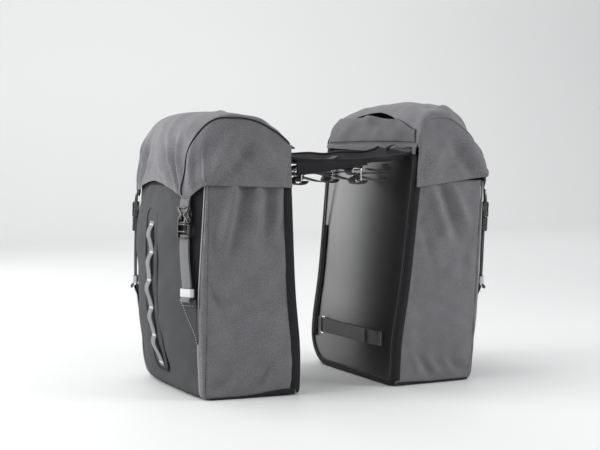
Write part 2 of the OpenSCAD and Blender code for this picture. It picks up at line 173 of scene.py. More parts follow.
def ridge(a, b, start, end, width):
    """One fold along a line from start to end: 1 on the line, fading to the sides and at both ends."""
    way = np.subtract(end, start)
    reach = math.hypot(*way)
    along = ((a - start[0]) * way[0] + (b - start[1]) * way[1]) / reach
    off = ((b - start[1]) * way[0] - (a - start[0]) * way[1]) / reach
    return np.exp(-(off / width) ** 2) * ease(-0.1 * reach, 0.25 * reach, along) * (
        1 - ease(0.6 * reach, 1.1 * reach, along))


def folded(a, b, folds):
    """Several folds at once, each given as (height, start, end, width)."""
    return sum(height * ridge(a, b, start, end, width) for height, start, end, width in folds)


def normals_of(points):
    du = np.gradient(points, axis=1)
    dv = np.gradient(points, axis=0)
    n = np.cross(du, dv)
    return n / np.maximum(1e-12, np.linalg.norm(n, axis=-1, keepdims=True))


def add_mesh(name, verts, faces, uvs=None):
    mesh = bpy.data.meshes.new(name)
    mesh.from_pydata([tuple(v) for v in verts], [], faces)
    if uvs is not None:
        layer = mesh.uv_layers.new(name="cloth")
        index = np.zeros(len(mesh.loops), np.int32)
        mesh.loops.foreach_get("vertex_index", index)
        layer.data.foreach_set("uv", np.asarray(uvs, np.float32)[index].ravel())
    mesh.polygons.foreach_set("use_smooth", [True] * len(mesh.polygons))
    obj = bpy.data.objects.new(name, mesh)
    bpy.context.scene.collection.objects.link(obj)
    return obj


def close_up(obj, merge=0.0):
    """Merges points nearer than merge, and turns all faces outward."""
    bm = bmesh.new()
    bm.from_mesh(obj.data)
    if merge:
        bmesh.ops.remove_doubles(bm, verts=bm.verts, dist=merge)
    bmesh.ops.recalc_face_normals(bm, faces=bm.faces)
    bm.to_mesh(obj.data)
    bm.free()
    return obj


def cloth(name, points, thickness, wrap=False, out=None, merge=0.0):
    """A closed skin of cloth over a grid of points (rows, columns, 3), thickened away from its face."""
    points = np.asarray(points, float)
    rows, cols = points.shape[:2]
    if out is None:
        out = normals_of(points)
    step_u = np.linalg.norm(np.diff(points, axis=1), axis=-1)
    step_v = np.linalg.norm(np.diff(points, axis=0), axis=-1)
    u = np.concatenate([np.zeros((rows, 1)), np.cumsum(step_u, 1)], 1)
    v = np.concatenate([np.zeros((1, cols)), np.cumsum(step_v, 0)], 0)
    u = u - u[:, cols // 2:cols // 2 + 1]
    uv = np.stack([u, v], -1).reshape(-1, 2)
    verts = np.concatenate([points.reshape(-1, 3), (points - thickness * out).reshape(-1, 3)])
    n = rows * cols
    faces = []
    last = cols if wrap else cols - 1
    for j in range(rows - 1):
        for i in range(last):
            a, b = j * cols + i, j * cols + (i + 1) % cols
            faces.append((a, b, b + cols, a + cols))
            faces.append((n + a, n + a + cols, n + b + cols, n + b))
    for i in range(last):
        b = (i + 1) % cols
        top = (rows - 1) * cols
        faces.append((i, n + i, n + b, b))
        faces.append((top + i, top + b, n + top + b, n + top + i))
    if not wrap:
        for j in range(rows - 1):
            a, b = j * cols, j * cols + cols - 1
            faces.append((a, a + cols, n + a + cols, n + a))
            faces.append((b, n + b, n + b + cols, b + cols))
    return close_up(add_mesh(name, verts, faces, np.concatenate([uv, uv])), merge)


def sweep_along(name, path, outline, width_way, closed=False):
    """Draws a closed outline, a list of (across, up), along a path; width_way is the across direction."""
    path = np.asarray(path, float)
    outline = np.asarray(outline, float)
    if closed:
        tangent = np.roll(path, -1, 0) - np.roll(path, 1, 0)
    else:
        tangent = np.gradient(path, axis=0)
    tangent /= np.linalg.norm(tangent, axis=1, keepdims=True)
    across = np.broadcast_to(np.asarray(width_way, float), path.shape).copy()
    across -= (across * tangent).sum(1, keepdims=True) * tangent
    across /= np.linalg.norm(across, axis=1, keepdims=True)
    up = np.cross(tangent, across)
    rings = path[:, None] + outline[None, :, :1] * across[:, None] + outline[None, :, 1:] * up[:, None]
    rows, cols = rings.shape[:2]
    uv = np.stack(np.broadcast_arrays(outline[None, :, 0], run_of(path)[:, None]), -1).reshape(-1, 2)
    faces = []
    for j in range(rows if closed else rows - 1):
        for i in range(cols):
            a, b = j * cols + i, j * cols + (i + 1) % cols
            faces.append((a, b, (b + cols) % (rows * cols), (a + cols) % (rows * cols)))
    if not closed:
        faces.append(tuple(range(cols)))
        faces.append(tuple((rows - 1) * cols + i for i in range(cols)))
    return close_up(add_mesh(name, rings.reshape(-1, 3), faces, uv))


def round_outline(width, height, r, steps=3):
    """A rectangle with rounded corners, as points of (across, up)."""
    pts = []
    for cx, cy, start in ((1, 1, 0), (-1, 1, 90), (-1, -1, 180), (1, -1, 270)):
        for a in np.radians(np.linspace(start, start + 90, steps + 1)):
            pts.append((cx * (width / 2 - r) + r * math.cos(a), cy * (height / 2 - r) + r * math.sin(a)))
    return pts


def smooth_path(points, steps=8):
    """A curve through a few points, by Catmull-Rom pieces."""
    p = np.asarray(points, float)
    p = np.concatenate([[2 * p[0] - p[1]], p, [2 * p[-1] - p[-2]]])
    out = []
    for a, b, c, d in zip(p[:-3], p[1:-2], p[2:-1], p[3:]):
        for t in np.linspace(0, 1, steps, endpoint=False):
            square = (2 * a - 5 * b + 4 * c - d) * t ** 2
            out.append(0.5 * (2 * b + (c - a) * t + square + (3 * b - a - 3 * c + d) * t ** 3))
    return np.array(out + [p[-2]])


def run_of(path):
    """Distance run at each point of a path."""
    return np.concatenate([[0], np.cumsum(np.linalg.norm(np.diff(path, axis=0), axis=1))])


def tube(name, path, radius, sides=10, closed=False):
    path = np.asarray(path, float)
    ring = [(radius * math.cos(a), radius * math.sin(a)) for a in np.linspace(0, 2 * math.pi, sides, endpoint=False)]
    way = np.abs(path.max(0) - path.min(0))
    guide = np.eye(3)[int(np.argmin(way))]
    return sweep_along(name, path, ring, guide, closed)


def at_run(distance, run, values):
    return np.array([np.interp(distance, run, values[:, c]) for c in range(3)])


def stitches(name, path, out, pitch=0.0042, length=0.0028, radius=0.00042, lift=0.0002):
    """A row of thread stitches along a path, lying on the cloth whose outward direction is out."""
    path = np.asarray(path, float)
    out = np.broadcast_to(np.asarray(out, float), path.shape)
    run = run_of(path)
    count = max(1, int(run[-1] / pitch))
    verts, faces = [], []
    for k in range(count):
        mid = (k + 0.5) * run[-1] / count
        ends = [at_run(mid + d, run, path) for d in (-length / 2, 0, length / 2)]
        up = at_run(mid, run, out)
        up /= np.linalg.norm(up)
        way = ends[2] - ends[0]
        side = np.cross(way, up)
        side /= np.linalg.norm(side)
        base = len(verts)
        for point, grow, rise in zip(ends, (0.45, 1, 0.45), (-0.6, 0.6, -0.6)):
            centre = point + up * (lift + rise * radius)
            for a in range(5):
                w = 2 * math.pi * a / 5
                verts.append(centre + grow * radius * (math.cos(w) * side + math.sin(w) * up))
        for j in range(2):
            for a in range(5):
                b = (a + 1) % 5
                faces.append((base + 5 * j + a, base + 5 * j + b, base + 5 * j + 5 + b, base + 5 * j + 5 + a))
        faces.append(tuple(base + a for a in range(5)))
        faces.append(tuple(base + 10 + a for a in range(5)))
    return close_up(add_mesh(name, verts, faces))


def join(name, objs):
    """Makes one piece of several."""
    bpy.ops.object.select_all(action="DESELECT")
    for obj in objs:
        obj.select_set(True)
    bpy.context.view_layer.objects.active = objs[0]
    if len(objs) > 1:
        bpy.ops.object.join()
    objs[0].name = name
    objs[0].data.name = name
    return objs[0]


def new_material(name, color, rough, **sockets):
    made = bpy.data.materials.new(name)
    made.use_nodes = True
    shader = made.node_tree.nodes["Principled BSDF"]
    shader.inputs["Base Color"].default_value = (*color, 1)
    shader.inputs["Roughness"].default_value = rough
    for socket, value in sockets.items():
        shader.inputs[socket.replace("_", " ")].default_value = value
    return made, made.node_tree, shader


def node(tree, kind, links=(), **inputs):
    """A shader node: links are (input, source) pairs, and the other inputs are set by name."""
    made = tree.nodes.new(kind)
    for socket, value in inputs.items():
        made.inputs[socket.replace("_", " ")].default_value = value
    for slot, source in links:
        tree.links.new(source, made.inputs[slot])
    return made


def calc(tree, op, a, b=0.0):
    """A math node over two sources, each a number or another node's output."""
    made = node(tree, "ShaderNodeMath")
    made.operation = op
    for k, value in enumerate((a, b)):
        if isinstance(value, (int, float)):
            made.inputs[k].default_value = value
        else:
            tree.links.new(value, made.inputs[k])
    return made.outputs[0]


def scaled(tree, source, scale):
    made = node(tree, "ShaderNodeVectorMath", [(0, source)])
    made.operation = "MULTIPLY"
    made.inputs[1].default_value = scale
    return made.outputs[0]


def noise_on(tree, where, scale, detail=2.0):
    return node(tree, "ShaderNodeTexNoise", [("Vector", where)], Scale=scale, Detail=detail).outputs["Fac"]


def add_relief(tree, shader, height, strength, distance, under=None):
    """Bumps the shader's normal by a height; under is the normal of a wider bump below it."""
    links = [("Height", height)] + ([("Normal", under)] if under is not None else [])
    made = node(tree, "ShaderNodeBump", links, Strength=strength, Distance=distance)
    tree.links.new(made.outputs["Normal"], shader.inputs["Normal"])


def add_shades(tree, shader, amount, dark, light, low=0.0, high=1.0):
    """Colours the shader from dark to light by an amount."""
    ramp = node(tree, "ShaderNodeValToRGB", [("Fac", amount)])
    for stop, shade, at in zip(ramp.color_ramp.elements, (dark, light), (low, high)):
        stop.color = (*shade, 1)
        stop.position = at
    tree.links.new(ramp.outputs["Color"], shader.inputs["Base Color"])


def weave(tree, where, pitch):
    """Height of a plain weave: warp and weft threads that pass over each other in turn."""
    parts = node(tree, "ShaderNodeSeparateXYZ", [(0, where)])
    waves_of = [calc(tree, "MULTIPLY", parts.outputs[k], math.pi / pitch) for k in (0, 1)]
    humps = [calc(tree, "ABSOLUTE", calc(tree, "SINE", wave)) for wave in waves_of]
    check = node(tree, "ShaderNodeTexChecker", [("Vector", where)], Scale=1 / pitch,
                 Color1=(1, 1, 1, 1), Color2=(0, 0, 0, 1)).outputs["Fac"]
    under = calc(tree, "MULTIPLY", humps[1], calc(tree, "SUBTRACT", 1.0, check))
    return calc(tree, "ADD", calc(tree, "MULTIPLY", humps[0], check), under)


def woven(name, dark, light, pitch=0.0009, heather=1.0, rough=0.85, bump=0.00012, sheen=0.15, shine=0.35):
    """Woven cloth: two thread shades in short slubs along warp and weft, a plain weave that also darkens the colour in
    its hollows as painted shade, and soft mottling.
    """
    made, tree, shader = new_material(name, light, rough, Sheen_Weight=sheen, Sheen_Roughness=0.5,
                                      Specular_IOR_Level=shine)
    where = node(tree, "ShaderNodeTexCoord").outputs["UV"]
    slubs = [noise_on(tree, scaled(tree, where, stretch), 1.0) for stretch in ((420, 1500, 900), (1500, 420, 900))]
    fine = calc(tree, "MULTIPLY", calc(tree, "ADD", *slubs), 0.5)
    cloud = noise_on(tree, where, 30.0, 4.0)
    mottle = calc(tree, "ADD", calc(tree, "MULTIPLY", calc(tree, "SUBTRACT", cloud, 0.5), 0.5), 0.5)
    thread = calc(tree, "MULTIPLY", calc(tree, "SUBTRACT", fine, 0.5), 3.2 * heather)
    height = weave(tree, where, pitch)
    # depth darkens the colour where the weave is low: painted shade between the threads
    depth = calc(tree, "ADD", calc(tree, "MULTIPLY", height, 0.35), 0.75)
    add_shades(tree, shader, calc(tree, "MULTIPLY", calc(tree, "ADD", thread, mottle), depth), dark, light, 0.15, 0.85)
    add_relief(tree, shader, calc(tree, "ADD", height, calc(tree, "MULTIPLY", fine, 1.2)), 0.8, bump)
    return made


def dress(obj, material, body, *nodes, slot=None):
    """Gives a piece its finish, the body that it moves with, and the CAD nodes that it stands for."""
    obj.data.materials.clear()
    obj.data.materials.append(material)
    if body:
        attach(obj, body)
    if nodes:
        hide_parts(*nodes)
    return obj


def paint_node(name, material):
    """Gives a CAD node that shows as it is its material."""
    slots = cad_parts[name].data.materials
    slots.clear()
    slots.append(material)


black_cloth = woven("black_cloth", (0.005, 0.005, 0.006), (0.017, 0.017, 0.019),
                    heather=0.7, rough=0.80, sheen=0.05, shine=0.22)
thread_grey, _, _ = new_material("grey_thread", (0.22, 0.22, 0.23), 0.7, Sheen_Weight=0.3)
thread_black, _, _ = new_material("black_thread", (0.012, 0.012, 0.013), 0.6, Sheen_Weight=0.3)


def end_half(share):
    """Half the bag's length at a share of its depth."""
    return BACK_HALF + (SEAM_HALF - BACK_HALF) * np.asarray(share, float)


def ground_edge(bag, steps=40):
    """Plan of the bag where it meets the floor, from the near back corner round the front to the far one."""
    z = 0.004
    s = np.linspace(-1, 1, steps)
    front = place(bag, front_u(bag, s, z), s * SEAM_HALF - np.maximum(0, s) * rounding(z, HEEL_R), z)
    back_near = place(bag, inner_u(bag, z) + 0.004, -BACK_HALF + 0.004, z)[None]
    back_far = place(bag, inner_u(bag, z) + 0.004, BACK_HALF - 0.004 - rounding(z, HEEL_R), z)[None]
    return np.concatenate([back_near, front, back_far])


BASE_RINGS = 14
for bag in SIDES:
    edge = ground_edge(bag)
    edge = np.concatenate([edge, np.linspace(edge[-1], edge[0], 12)[1:-1]])
    middle = edge.mean(0)
    rings = []
    for k in np.linspace(0.02, 1, BASE_RINGS):
        ring = middle + (edge - middle) * k
        ripple = 0.0004 * waves(ring[:, 0], ring[:, 1], 0.05, 3) * (k < 0.9)
        ring[:, 2] = 0.0006 + 0.0022 * ease(0.86, 1, k) + ripple
        rings.append(ring)
    down = np.array([0, 0, -1.0]) * np.ones((BASE_RINGS, len(edge), 3))
    base = cloth(f"{bag}_base", np.array(rings), CLOTH, wrap=True, out=down)
    dress(base, black_cloth, f"{bag}_bag", f"{bag}_base_panel", slot="black_fabric")

# ---- Stiffener boards: smooth polyethylene sheets inside the bag, one behind the back panel and one on
# the base. They slip into pockets of the lining and carry the load between the rack straps.
board, _, _ = new_material("polyethylene", (0.05, 0.05, 0.055), 0.45)
for bag in SIDES:
    paint_node(f"{bag}_stiffener_boards", board)

# ---- End panels: heather-woven polyester with a coated back, cut as tall tapered pieces. They are sewn
# to the base, the back panel and the front panel, and hang in soft upright folds under the lid.
heather_grey = woven("heather_grey", (0.074, 0.072, 0.078), (0.190, 0.186, 0.198), heather=1.0)
WALL_TOP = 0.352
ENDS = ((-1, "near"), (1, "far"))

# folds of an end panel as (height, start, end, width), each end given as (distance from the back panel, z)
UPPER_FOLDS = (
    (0.0090, (0.100, 0.372), (0.132, 0.215), 0.010), (-0.0075, (0.076, 0.372), (0.112, 0.230), 0.010),
    (0.0078, (0.056, 0.372), (0.082, 0.225), 0.010), (-0.0060, (0.034, 0.368), (0.052, 0.240), 0.009),
    (0.0045, (0.020, 0.366), (0.030, 0.260), 0.007), (0.0051, (0.147, 0.215), (0.118, 0.160), 0.009),
    (-0.0042, (0.147, 0.190), (0.122, 0.138), 0.008))
RIGHT_NEAR_FOLDS = (
    (0.0093, (0.030, 0.352), (0.088, 0.235), 0.011), (-0.0075, (0.052, 0.352), (0.112, 0.240), 0.010),
    (0.0069, (0.078, 0.352), (0.132, 0.262), 0.010), (-0.0045, (0.014, 0.300), (0.060, 0.200), 0.010))
LOW_FOLDS = (
    (-0.00448, (0.150, 0.014), (0.085, 0.038), 0.010), (0.0042, (0.120, 0.010), (0.088, 0.048), 0.007),
    (0.00336, (0.088, 0.012), (0.060, 0.052), 0.006), (-0.00308, (0.070, 0.012), (0.046, 0.055), 0.006),
    (0.00308, (0.052, 0.014), (0.030, 0.060), 0.006))


def end_panel(bag, side, cols=56, rows=110):
    """Points of an end panel, with its bow, soft ripples and folds."""
    share, z = np.meshgrid(np.linspace(0.035, 1, cols), np.linspace(0.003, WALL_TOP, rows))
    low, high = inner_u(bag, z), outer_u(bag, z)
    u = low + share * (high - low)
    quiet = ease(0.03, 0.16, share) * ease(1.0, 0.9, share) * ease(0.0, 0.03, z)
    seed = 11 + 7 * side + 3 * SIDES[bag]
    bow = 0.0035 * np.sin(np.pi * share) * np.sin(np.pi * np.clip(z / 0.36, 0, 1))
    soft = 0.0016 * waves(u, z, 0.11, seed) + 0.0006 * waves(u, z, 0.04, seed + 1)
    upper = RIGHT_NEAR_FOLDS if (bag, side) == ("right", -1) else UPPER_FOLDS
    proud = bow + quiet * (soft + folded(share * 0.15, z, upper + LOW_FOLDS))
    y = side * (end_half(share) + proud) - max(0, side) * rounding(z, HEEL_R)
    return place(bag, u, y, z)


def end_line(bag, side, share, z, lift=0.0):
    """Points on an end panel, standing lift off its smooth face."""
    y = side * (end_half(share) + lift) - max(0, side) * rounding(z, HEEL_R)
    return place(bag, inner_u(bag, z) + share * (outer_u(bag, z) - inner_u(bag, z)), y, z)


for bag in SIDES:
    for side, word in ENDS:
        panel = cloth(f"{bag}_{word}_end", end_panel(bag, side), CLOTH)
        dress(panel, heather_grey, f"{bag}_bag", f"{bag}_{word}_end_panel", slot="end_fabric")
        share = np.linspace(0.05, 0.995, 60)
        rise = 0.003 + (0.009 if bag == "left" else 0.004) * ease(0.75, 0.1, share)
        heights = ((np.full(60, 0.0035), 0.0012), (rise * 0.6, 0.0030), (rise, 0.0026))
        edges = [end_line(bag, side, share, level, lift) for level, lift in heights]
        guard = cloth(f"{bag}_{word}_base_guard", np.array(edges), CLOTH)
        dress(guard, black_cloth, f"{bag}_bag", slot="black_fabric")

# ---- Front panel: smooth coated cloth that bellies out, with its two top corners cut off on a slant.
# A folded edge with a pale cord runs down both seams, and a row of stitches follows every edge.
smooth_grey = woven("smooth_grey", (0.042, 0.043, 0.045), (0.064, 0.065, 0.068), pitch=0.0006, heather=0.35,
                    rough=0.80, bump=0.00004, sheen=0.0, shine=0.15)
pale_edge, _, _ = new_material("pale_edge_cord", (0.30, 0.30, 0.31), 0.60, Sheen_Weight=0.2)
CUT_DROP = 0.190


def front_top(s):
    """Height of the front panel's top edge: it falls steeply behind the near strap, slowly to the far one."""
    s = np.asarray(s, float)
    near = ease(0.70, 0.95, -s)
    far = np.minimum(1, np.maximum(0, s) / 0.93) ** 3.4
    return WALL_TOP - 0.006 - CUT_DROP * np.maximum(near, far)


def seam_s(z):
    """Where the end panel, wrapped round the corner, meets the front panel."""
    return 0.998 - 0.055 * ease(0.40, 0.0, z)


def front_face(bag, s, z, lift=0.0):
    s, z = np.broadcast_arrays(np.asarray(s, float), np.asarray(z, float))
    a = np.clip(s - 0.01, -1, 1)
    b = np.clip(s + 0.01, -1, 1)
    run = (b - a) * SEAM_HALF
    rise = front_u(bag, b, z) - front_u(bag, a, z)
    size = np.hypot(run, rise)
    return place(bag, front_u(bag, s, z) + lift * run / size,
                 s * SEAM_HALF - np.maximum(0, s) * rounding(z, HEEL_R) - lift * rise / size, z)


def front_way(bag, s, z):
    way = front_face(bag, s, z, 0.001) - front_face(bag, s, z, 0)
    return way / np.linalg.norm(way, axis=-1, keepdims=True)


def front_relief(bag, s, z):
    y = s * SEAM_HALF
    quiet = ease(1.0, 0.9, np.abs(s)) * ease(0.0, 0.03, z)
    soft = 0.0013 * waves(y, z, 0.12, 41 + SIDES[bag]) + 0.0005 * waves(y, z, 0.045, 45)
    pull = folded(y, z, (
        (0.0018, (-0.125, 0.255), (-0.06, 0.335), 0.012),
        (0.0018, (0.125, 0.255), (0.06, 0.335), 0.012),
        (-0.0022, (-0.145, 0.03), (-0.05, 0.07), 0.014),
        (-0.0022, (0.145, 0.05), (0.06, 0.09), 0.014)))
    return quiet * (soft + pull)


for bag in SIDES:
    s, t = np.meshgrid(np.linspace(-1, 1, 121), np.linspace(0, 1, 90))
    z = 0.003 + t * (front_top(s) - 0.003)
    panel = cloth(f"{bag}_front", front_face(bag, s, z, front_relief(bag, s, z)), CLOTH)
    dress(panel, smooth_grey, f"{bag}_bag", f"{bag}_front_panel", slot="front_fabric")
    s, t = np.meshgrid(np.linspace(-1, 1, 80), np.linspace(0, 1, 14))
    gusset = cloth(f"{bag}_corner_gusset", front_face(bag, s, 0.14 + t * 0.212, -0.0022), 0.0010)
    dress(gusset, black_cloth, f"{bag}_bag", slot="black_fabric")
    for side in (-1, 1):
        word = "near" if side < 0 else "far"
        z = np.linspace(0.004, WALL_TOP - 0.002, 100)
        share, grid_z = np.meshgrid(np.linspace(0, 1, 12), z)
        across = side * (1.0 + (seam_s(grid_z) - 1.0) * share)
        swell = 0.0003 + 0.0011 * ease(0, 0.35, share) + 0.0012 * np.sin(np.pi * share) + 0.0005 * waves(share * 0.02, grid_z, 0.03, 61)
        wrap = cloth(f"{bag}_{word}_corner_wrap", front_face(bag, across, grid_z, swell), CLOTH)
        dress(wrap, heather_grey, f"{bag}_bag", slot="end_fabric")
        seam = front_face(bag, side * (seam_s(z) - 0.012), z, 0.0016)
        cord = tube(f"{bag}_{word}_seam_cord", seam, 0.0013, 8)
        dress(cord, pale_edge, f"{bag}_bag", slot="end_fabric")
        cut_s = side * np.linspace(0.30, 0.93, 60)
        cut = front_face(bag, cut_s, front_top(cut_s) - 0.001, 0.0006)
        hem = tube(f"{bag}_{word}_cut_edge", cut, 0.0011, 8)
        dress(hem, smooth_grey, f"{bag}_bag", slot="front_fabric")
        z = np.linspace(0.015, 0.150, 40)
        row = stitches(f"{bag}_{word}_seam_stitches", front_face(bag, side * (seam_s(z) - 0.045), z, 0.0006),
                       front_way(bag, side * (seam_s(z) - 0.045), z))
        dress(row, thread_black, f"{bag}_bag", slot="front_fabric")

# ---- Back panel: one satin black plastic-coated sheet, smooth and slightly bowed, that lies against the
# rack. It is bound all round in black cloth, and the binding wraps on to the end panels.
SHEET_MID, SHEET_BOW = 0.105, 0.55      # where the sheet's bow is flat, and how fast it curves, per metre
satin_black, satin_tree, satin_shader = new_material("satin_black_sheet", (0.010, 0.0105, 0.011), 0.34)
satin_shader.inputs["Specular IOR Level"].default_value = 1.0
sheet_at = node(satin_tree, "ShaderNodeTexCoord").outputs
sheet_y = node(satin_tree, "ShaderNodeSeparateXYZ", [(0, sheet_at["Object"])]).outputs["Y"]
past_mid = calc(satin_tree, "SUBTRACT", sheet_y, SHEET_MID)
sheet_bow = calc(satin_tree, "MULTIPLY", calc(satin_tree, "MULTIPLY", past_mid, past_mid), -SHEET_BOW)
bow = node(satin_tree, "ShaderNodeBump", [("Height", sheet_bow)], Distance=1.0)
add_relief(satin_tree, satin_shader, noise_on(satin_tree, sheet_at["UV"], 900.0), 0.25, 0.00006, bow.outputs["Normal"])
BACK_TOP = 0.404


def back_outline(inset, steps=10):
    """Outline of the back panel as (y, height), with its long heel curve at the far bottom corner."""
    corners = ((-1, 0.002, 0.010, 180), (1, 0.002, HEEL_R + 0.012, 270),
               (1, BACK_TOP, 0.024, 0), (-1, BACK_TOP, 0.024, 90))
    pts = []
    for side, level, r, start in corners:
        r = max(0.002, r - inset)
        cy = side * (BACK_HALF - inset - r)
        cz = level + (inset + r) * (1 if level < 0.1 else -1)
        for a in np.radians(np.linspace(start, start + 90, steps)):
            pts.append((cy + r * math.cos(a), cz + r * math.sin(a)))
    return np.array(pts)


def dense(points, step=0.006):
    """The same closed outline with points at an even step."""
    ring = np.concatenate([points, points[:1]])
    run = run_of(ring)
    at = np.linspace(0, run[-1], max(12, int(run[-1] / step)), endpoint=False)
    return np.stack([np.interp(at, run, ring[:, k]) for k in range(ring.shape[1])], -1)


def back_face(bag, y, z, lift=0.0):
    """A point on the face that meets the rack; lift stands off towards the rack."""
    y = np.asarray(y, float)
    z = np.asarray(z, float)
    bow = 0.0025 * np.sin(np.pi * np.clip(z / BACK_TOP, 0, 1)) * np.cos(np.pi * y / 2 / BACK_HALF)
    return place(bag, inner_u(bag, z) - lift - bow, y, z)


for bag in SIDES:
    ring = dense(back_outline(0.004))
    middle = ring.mean(0)
    rows = [back_face(bag, *(middle + (ring - middle) * k).T) for k in np.linspace(0.0005, 1, 40)]
    out = np.zeros((40, len(ring), 3))
    out[..., 0] = -SIDES[bag]
    sheet = cloth(f"{bag}_back_sheet", np.array(rows), 0.0018, wrap=True, out=out, merge=0.0006)
    dress(sheet, satin_black, f"{bag}_bag", f"{bag}_back_panel", slot="back_sheet")
    edge = dense(back_outline(0.0048), 0.004)
    path = back_face(bag, edge[:, 0], edge[:, 1], 0.0007)
    inward = back_face(bag, *(middle + (edge - middle) * 0.99).T, 0.0007) - path
    parts = [sweep_along("binding", path, round_outline(0.0095, 0.0022, 0.0009), inward, closed=True)]
    rim = dense(back_outline(0.0004), 0.004)
    path = back_face(bag, rim[:, 0], rim[:, 1], -0.0025)
    parts.append(sweep_along("rim", path, round_outline(0.0065, 0.0024, 0.0009), (1.0, 0, 0), closed=True))
    binding = join(f"{bag}_back_binding", parts)
    dress(binding, black_cloth, f"{bag}_bag", f"{bag}_edge_binding", slot="black_fabric")
    edge = dense(back_outline(0.0088), 0.004)
    path = back_face(bag, edge[:, 0], edge[:, 1], 0.0019)
    row = stitches(f"{bag}_binding_stitches", path, (-SIDES[bag], 0, 0), radius=0.0003)
    dress(row, thread_grey, f"{bag}_bag", slot="black_fabric")
    for side, word in ENDS:
        start = 0.010 if side < 0 else HEEL_R * 0.75
        z = np.linspace(start, 0.344, 70)
        width = 0.012 - 0.001 * SIDES[bag]
        share = np.linspace(0.012, 0.012 + width / 0.15, 6)
        grid_share, grid_z = np.meshgrid(share, z)
        proud = 0.0012 + 0.0008 * np.sin(np.pi * (grid_share - share[0]) / (share[-1] - share[0]))
        strip = cloth(f"{bag}_{word}_edge_tape", end_line(bag, side, grid_share, grid_z, proud), CLOTH)
        dress(strip, black_cloth, f"{bag}_bag", slot="black_fabric")

# ---- Cord sleeve and elastic cord: a flat black sleeve sewn down the far edge of the back panel. A thin
# elastic cord runs inside it, comes out at the top and leads up under the bridge.
def webbing_finish(name, dark, light, pitch=0.0014):
    """Flat woven tape: raised ribs along its length with a fine cross weave, its hollows painted darker as shade."""
    made, tree, shader = new_material(name, light, 0.72, Sheen_Weight=0.25)
    where = node(tree, "ShaderNodeTexCoord").outputs["UV"]
    height = weave(tree, scaled(tree, where, (1.0, 0.62, 1.0)), pitch)
    noise = node(tree, "ShaderNodeTexNoise", [("Vector", scaled(tree, where, (1200, 300, 1)))])
    noise.inputs["Scale"].default_value = 1.0
    # the colour follows the weave height, so the hollows between the ribs are darker as painted shade; the noise adds
    # random tone
    shade = calc(tree, "ADD", calc(tree, "MULTIPLY", height, 0.55), calc(tree, "MULTIPLY", noise.outputs["Fac"], 0.55))
    add_shades(tree, shader, shade, dark, light)
    add_relief(tree, shader, height, 0.9, 0.00025)
    return made


black_webbing = webbing_finish("black_webbing", (0.005, 0.005, 0.006), (0.028, 0.028, 0.030))
elastic, elastic_tree, elastic_shader = new_material("black_elastic", (0.012, 0.012, 0.013), 0.6, Sheen_Weight=0.3)
braid = noise_on(elastic_tree, node(elastic_tree, "ShaderNodeTexCoord").outputs["UV"], 1400.0)
add_relief(elastic_tree, elastic_shader, braid, 1.0, 0.0003)

SLEEVE_Y, SLEEVE_LOW, SLEEVE_TOP = 0.1445, 0.052, 0.262
for bag in SIDES:
    z = np.linspace(SLEEVE_LOW, SLEEVE_TOP, 60)
    y, zz = np.meshgrid(np.linspace(-0.0078, 0.0078, 16), z)
    hump = 0.0012 + 0.0034 * np.exp(-(y / 0.0042) ** 2) + 0.0003 * waves(y, zz, 0.03, 77)
    sleeve = cloth(f"{bag}_sleeve", back_face(bag, SLEEVE_Y + y, zz, hump), 0.0008)
    dress(sleeve, black_cloth, f"{bag}_bag", f"{bag}_cord_sleeve", slot="black_fabric")
    rise = np.linspace(0, 1, 30)
    top = back_face(bag, SLEEVE_Y - 0.008 * rise ** 1.15, SLEEVE_TOP - 0.012 + 0.106 * rise, 0.0032 + 0.006 * rise)
    cord = tube(f"{bag}_cord", top, 0.0014, 10)
    dress(cord, elastic, f"{bag}_bag", f"{bag}_elastic_cord", slot="cord")
    tab = sweep_along(f"{bag}_cord_tab", back_face(bag, SLEEVE_Y - 0.008, np.linspace(0.352, 0.378, 6), 0.0086),
                      round_outline(0.012, 0.0036, 0.0012), (0, 1.0, 0))
    dress(tab, black_webbing, f"{bag}_bag", slot="black_webbing")

# ---- Lower rack strap: 25 mm hook-and-loop webbing sewn at the near end, passed through a plated ring at
# the far end and folded back on itself. It ties the foot of the bag to the side of the rack.
STRAP_Z = 0.0765
RACK_WEB = 0.025
chrome, _, _ = new_material("plated_steel", (0.72, 0.72, 0.74), 0.16, Metallic=1.0)
chrome_tree = chrome.node_tree
wear = node(chrome_tree, "ShaderNodeTexNoise", [("Vector", node(chrome_tree, "ShaderNodeTexCoord").outputs["Object"])])
wear.inputs["Scale"].default_value = 400.0
wear_range = node(chrome_tree, "ShaderNodeMapRange", [("Value", wear.outputs["Fac"])])
wear_range.inputs["To Min"].default_value = 0.10
wear_range.inputs["To Max"].default_value = 0.28
chrome_tree.links.new(wear_range.outputs["Result"], chrome_tree.nodes["Principled BSDF"].inputs["Roughness"])

tape_outline = round_outline(RACK_WEB, 0.0015, 0.0006)


def on_back_strip(bag, stations, z=STRAP_Z):
    """A path along the back panel through stations of (y, stand-off)."""
    pts = smooth_path([(y, lift, 0) for y, lift in stations], 10)
    return back_face(bag, pts[:, 0], np.full(len(pts), z), pts[:, 1])


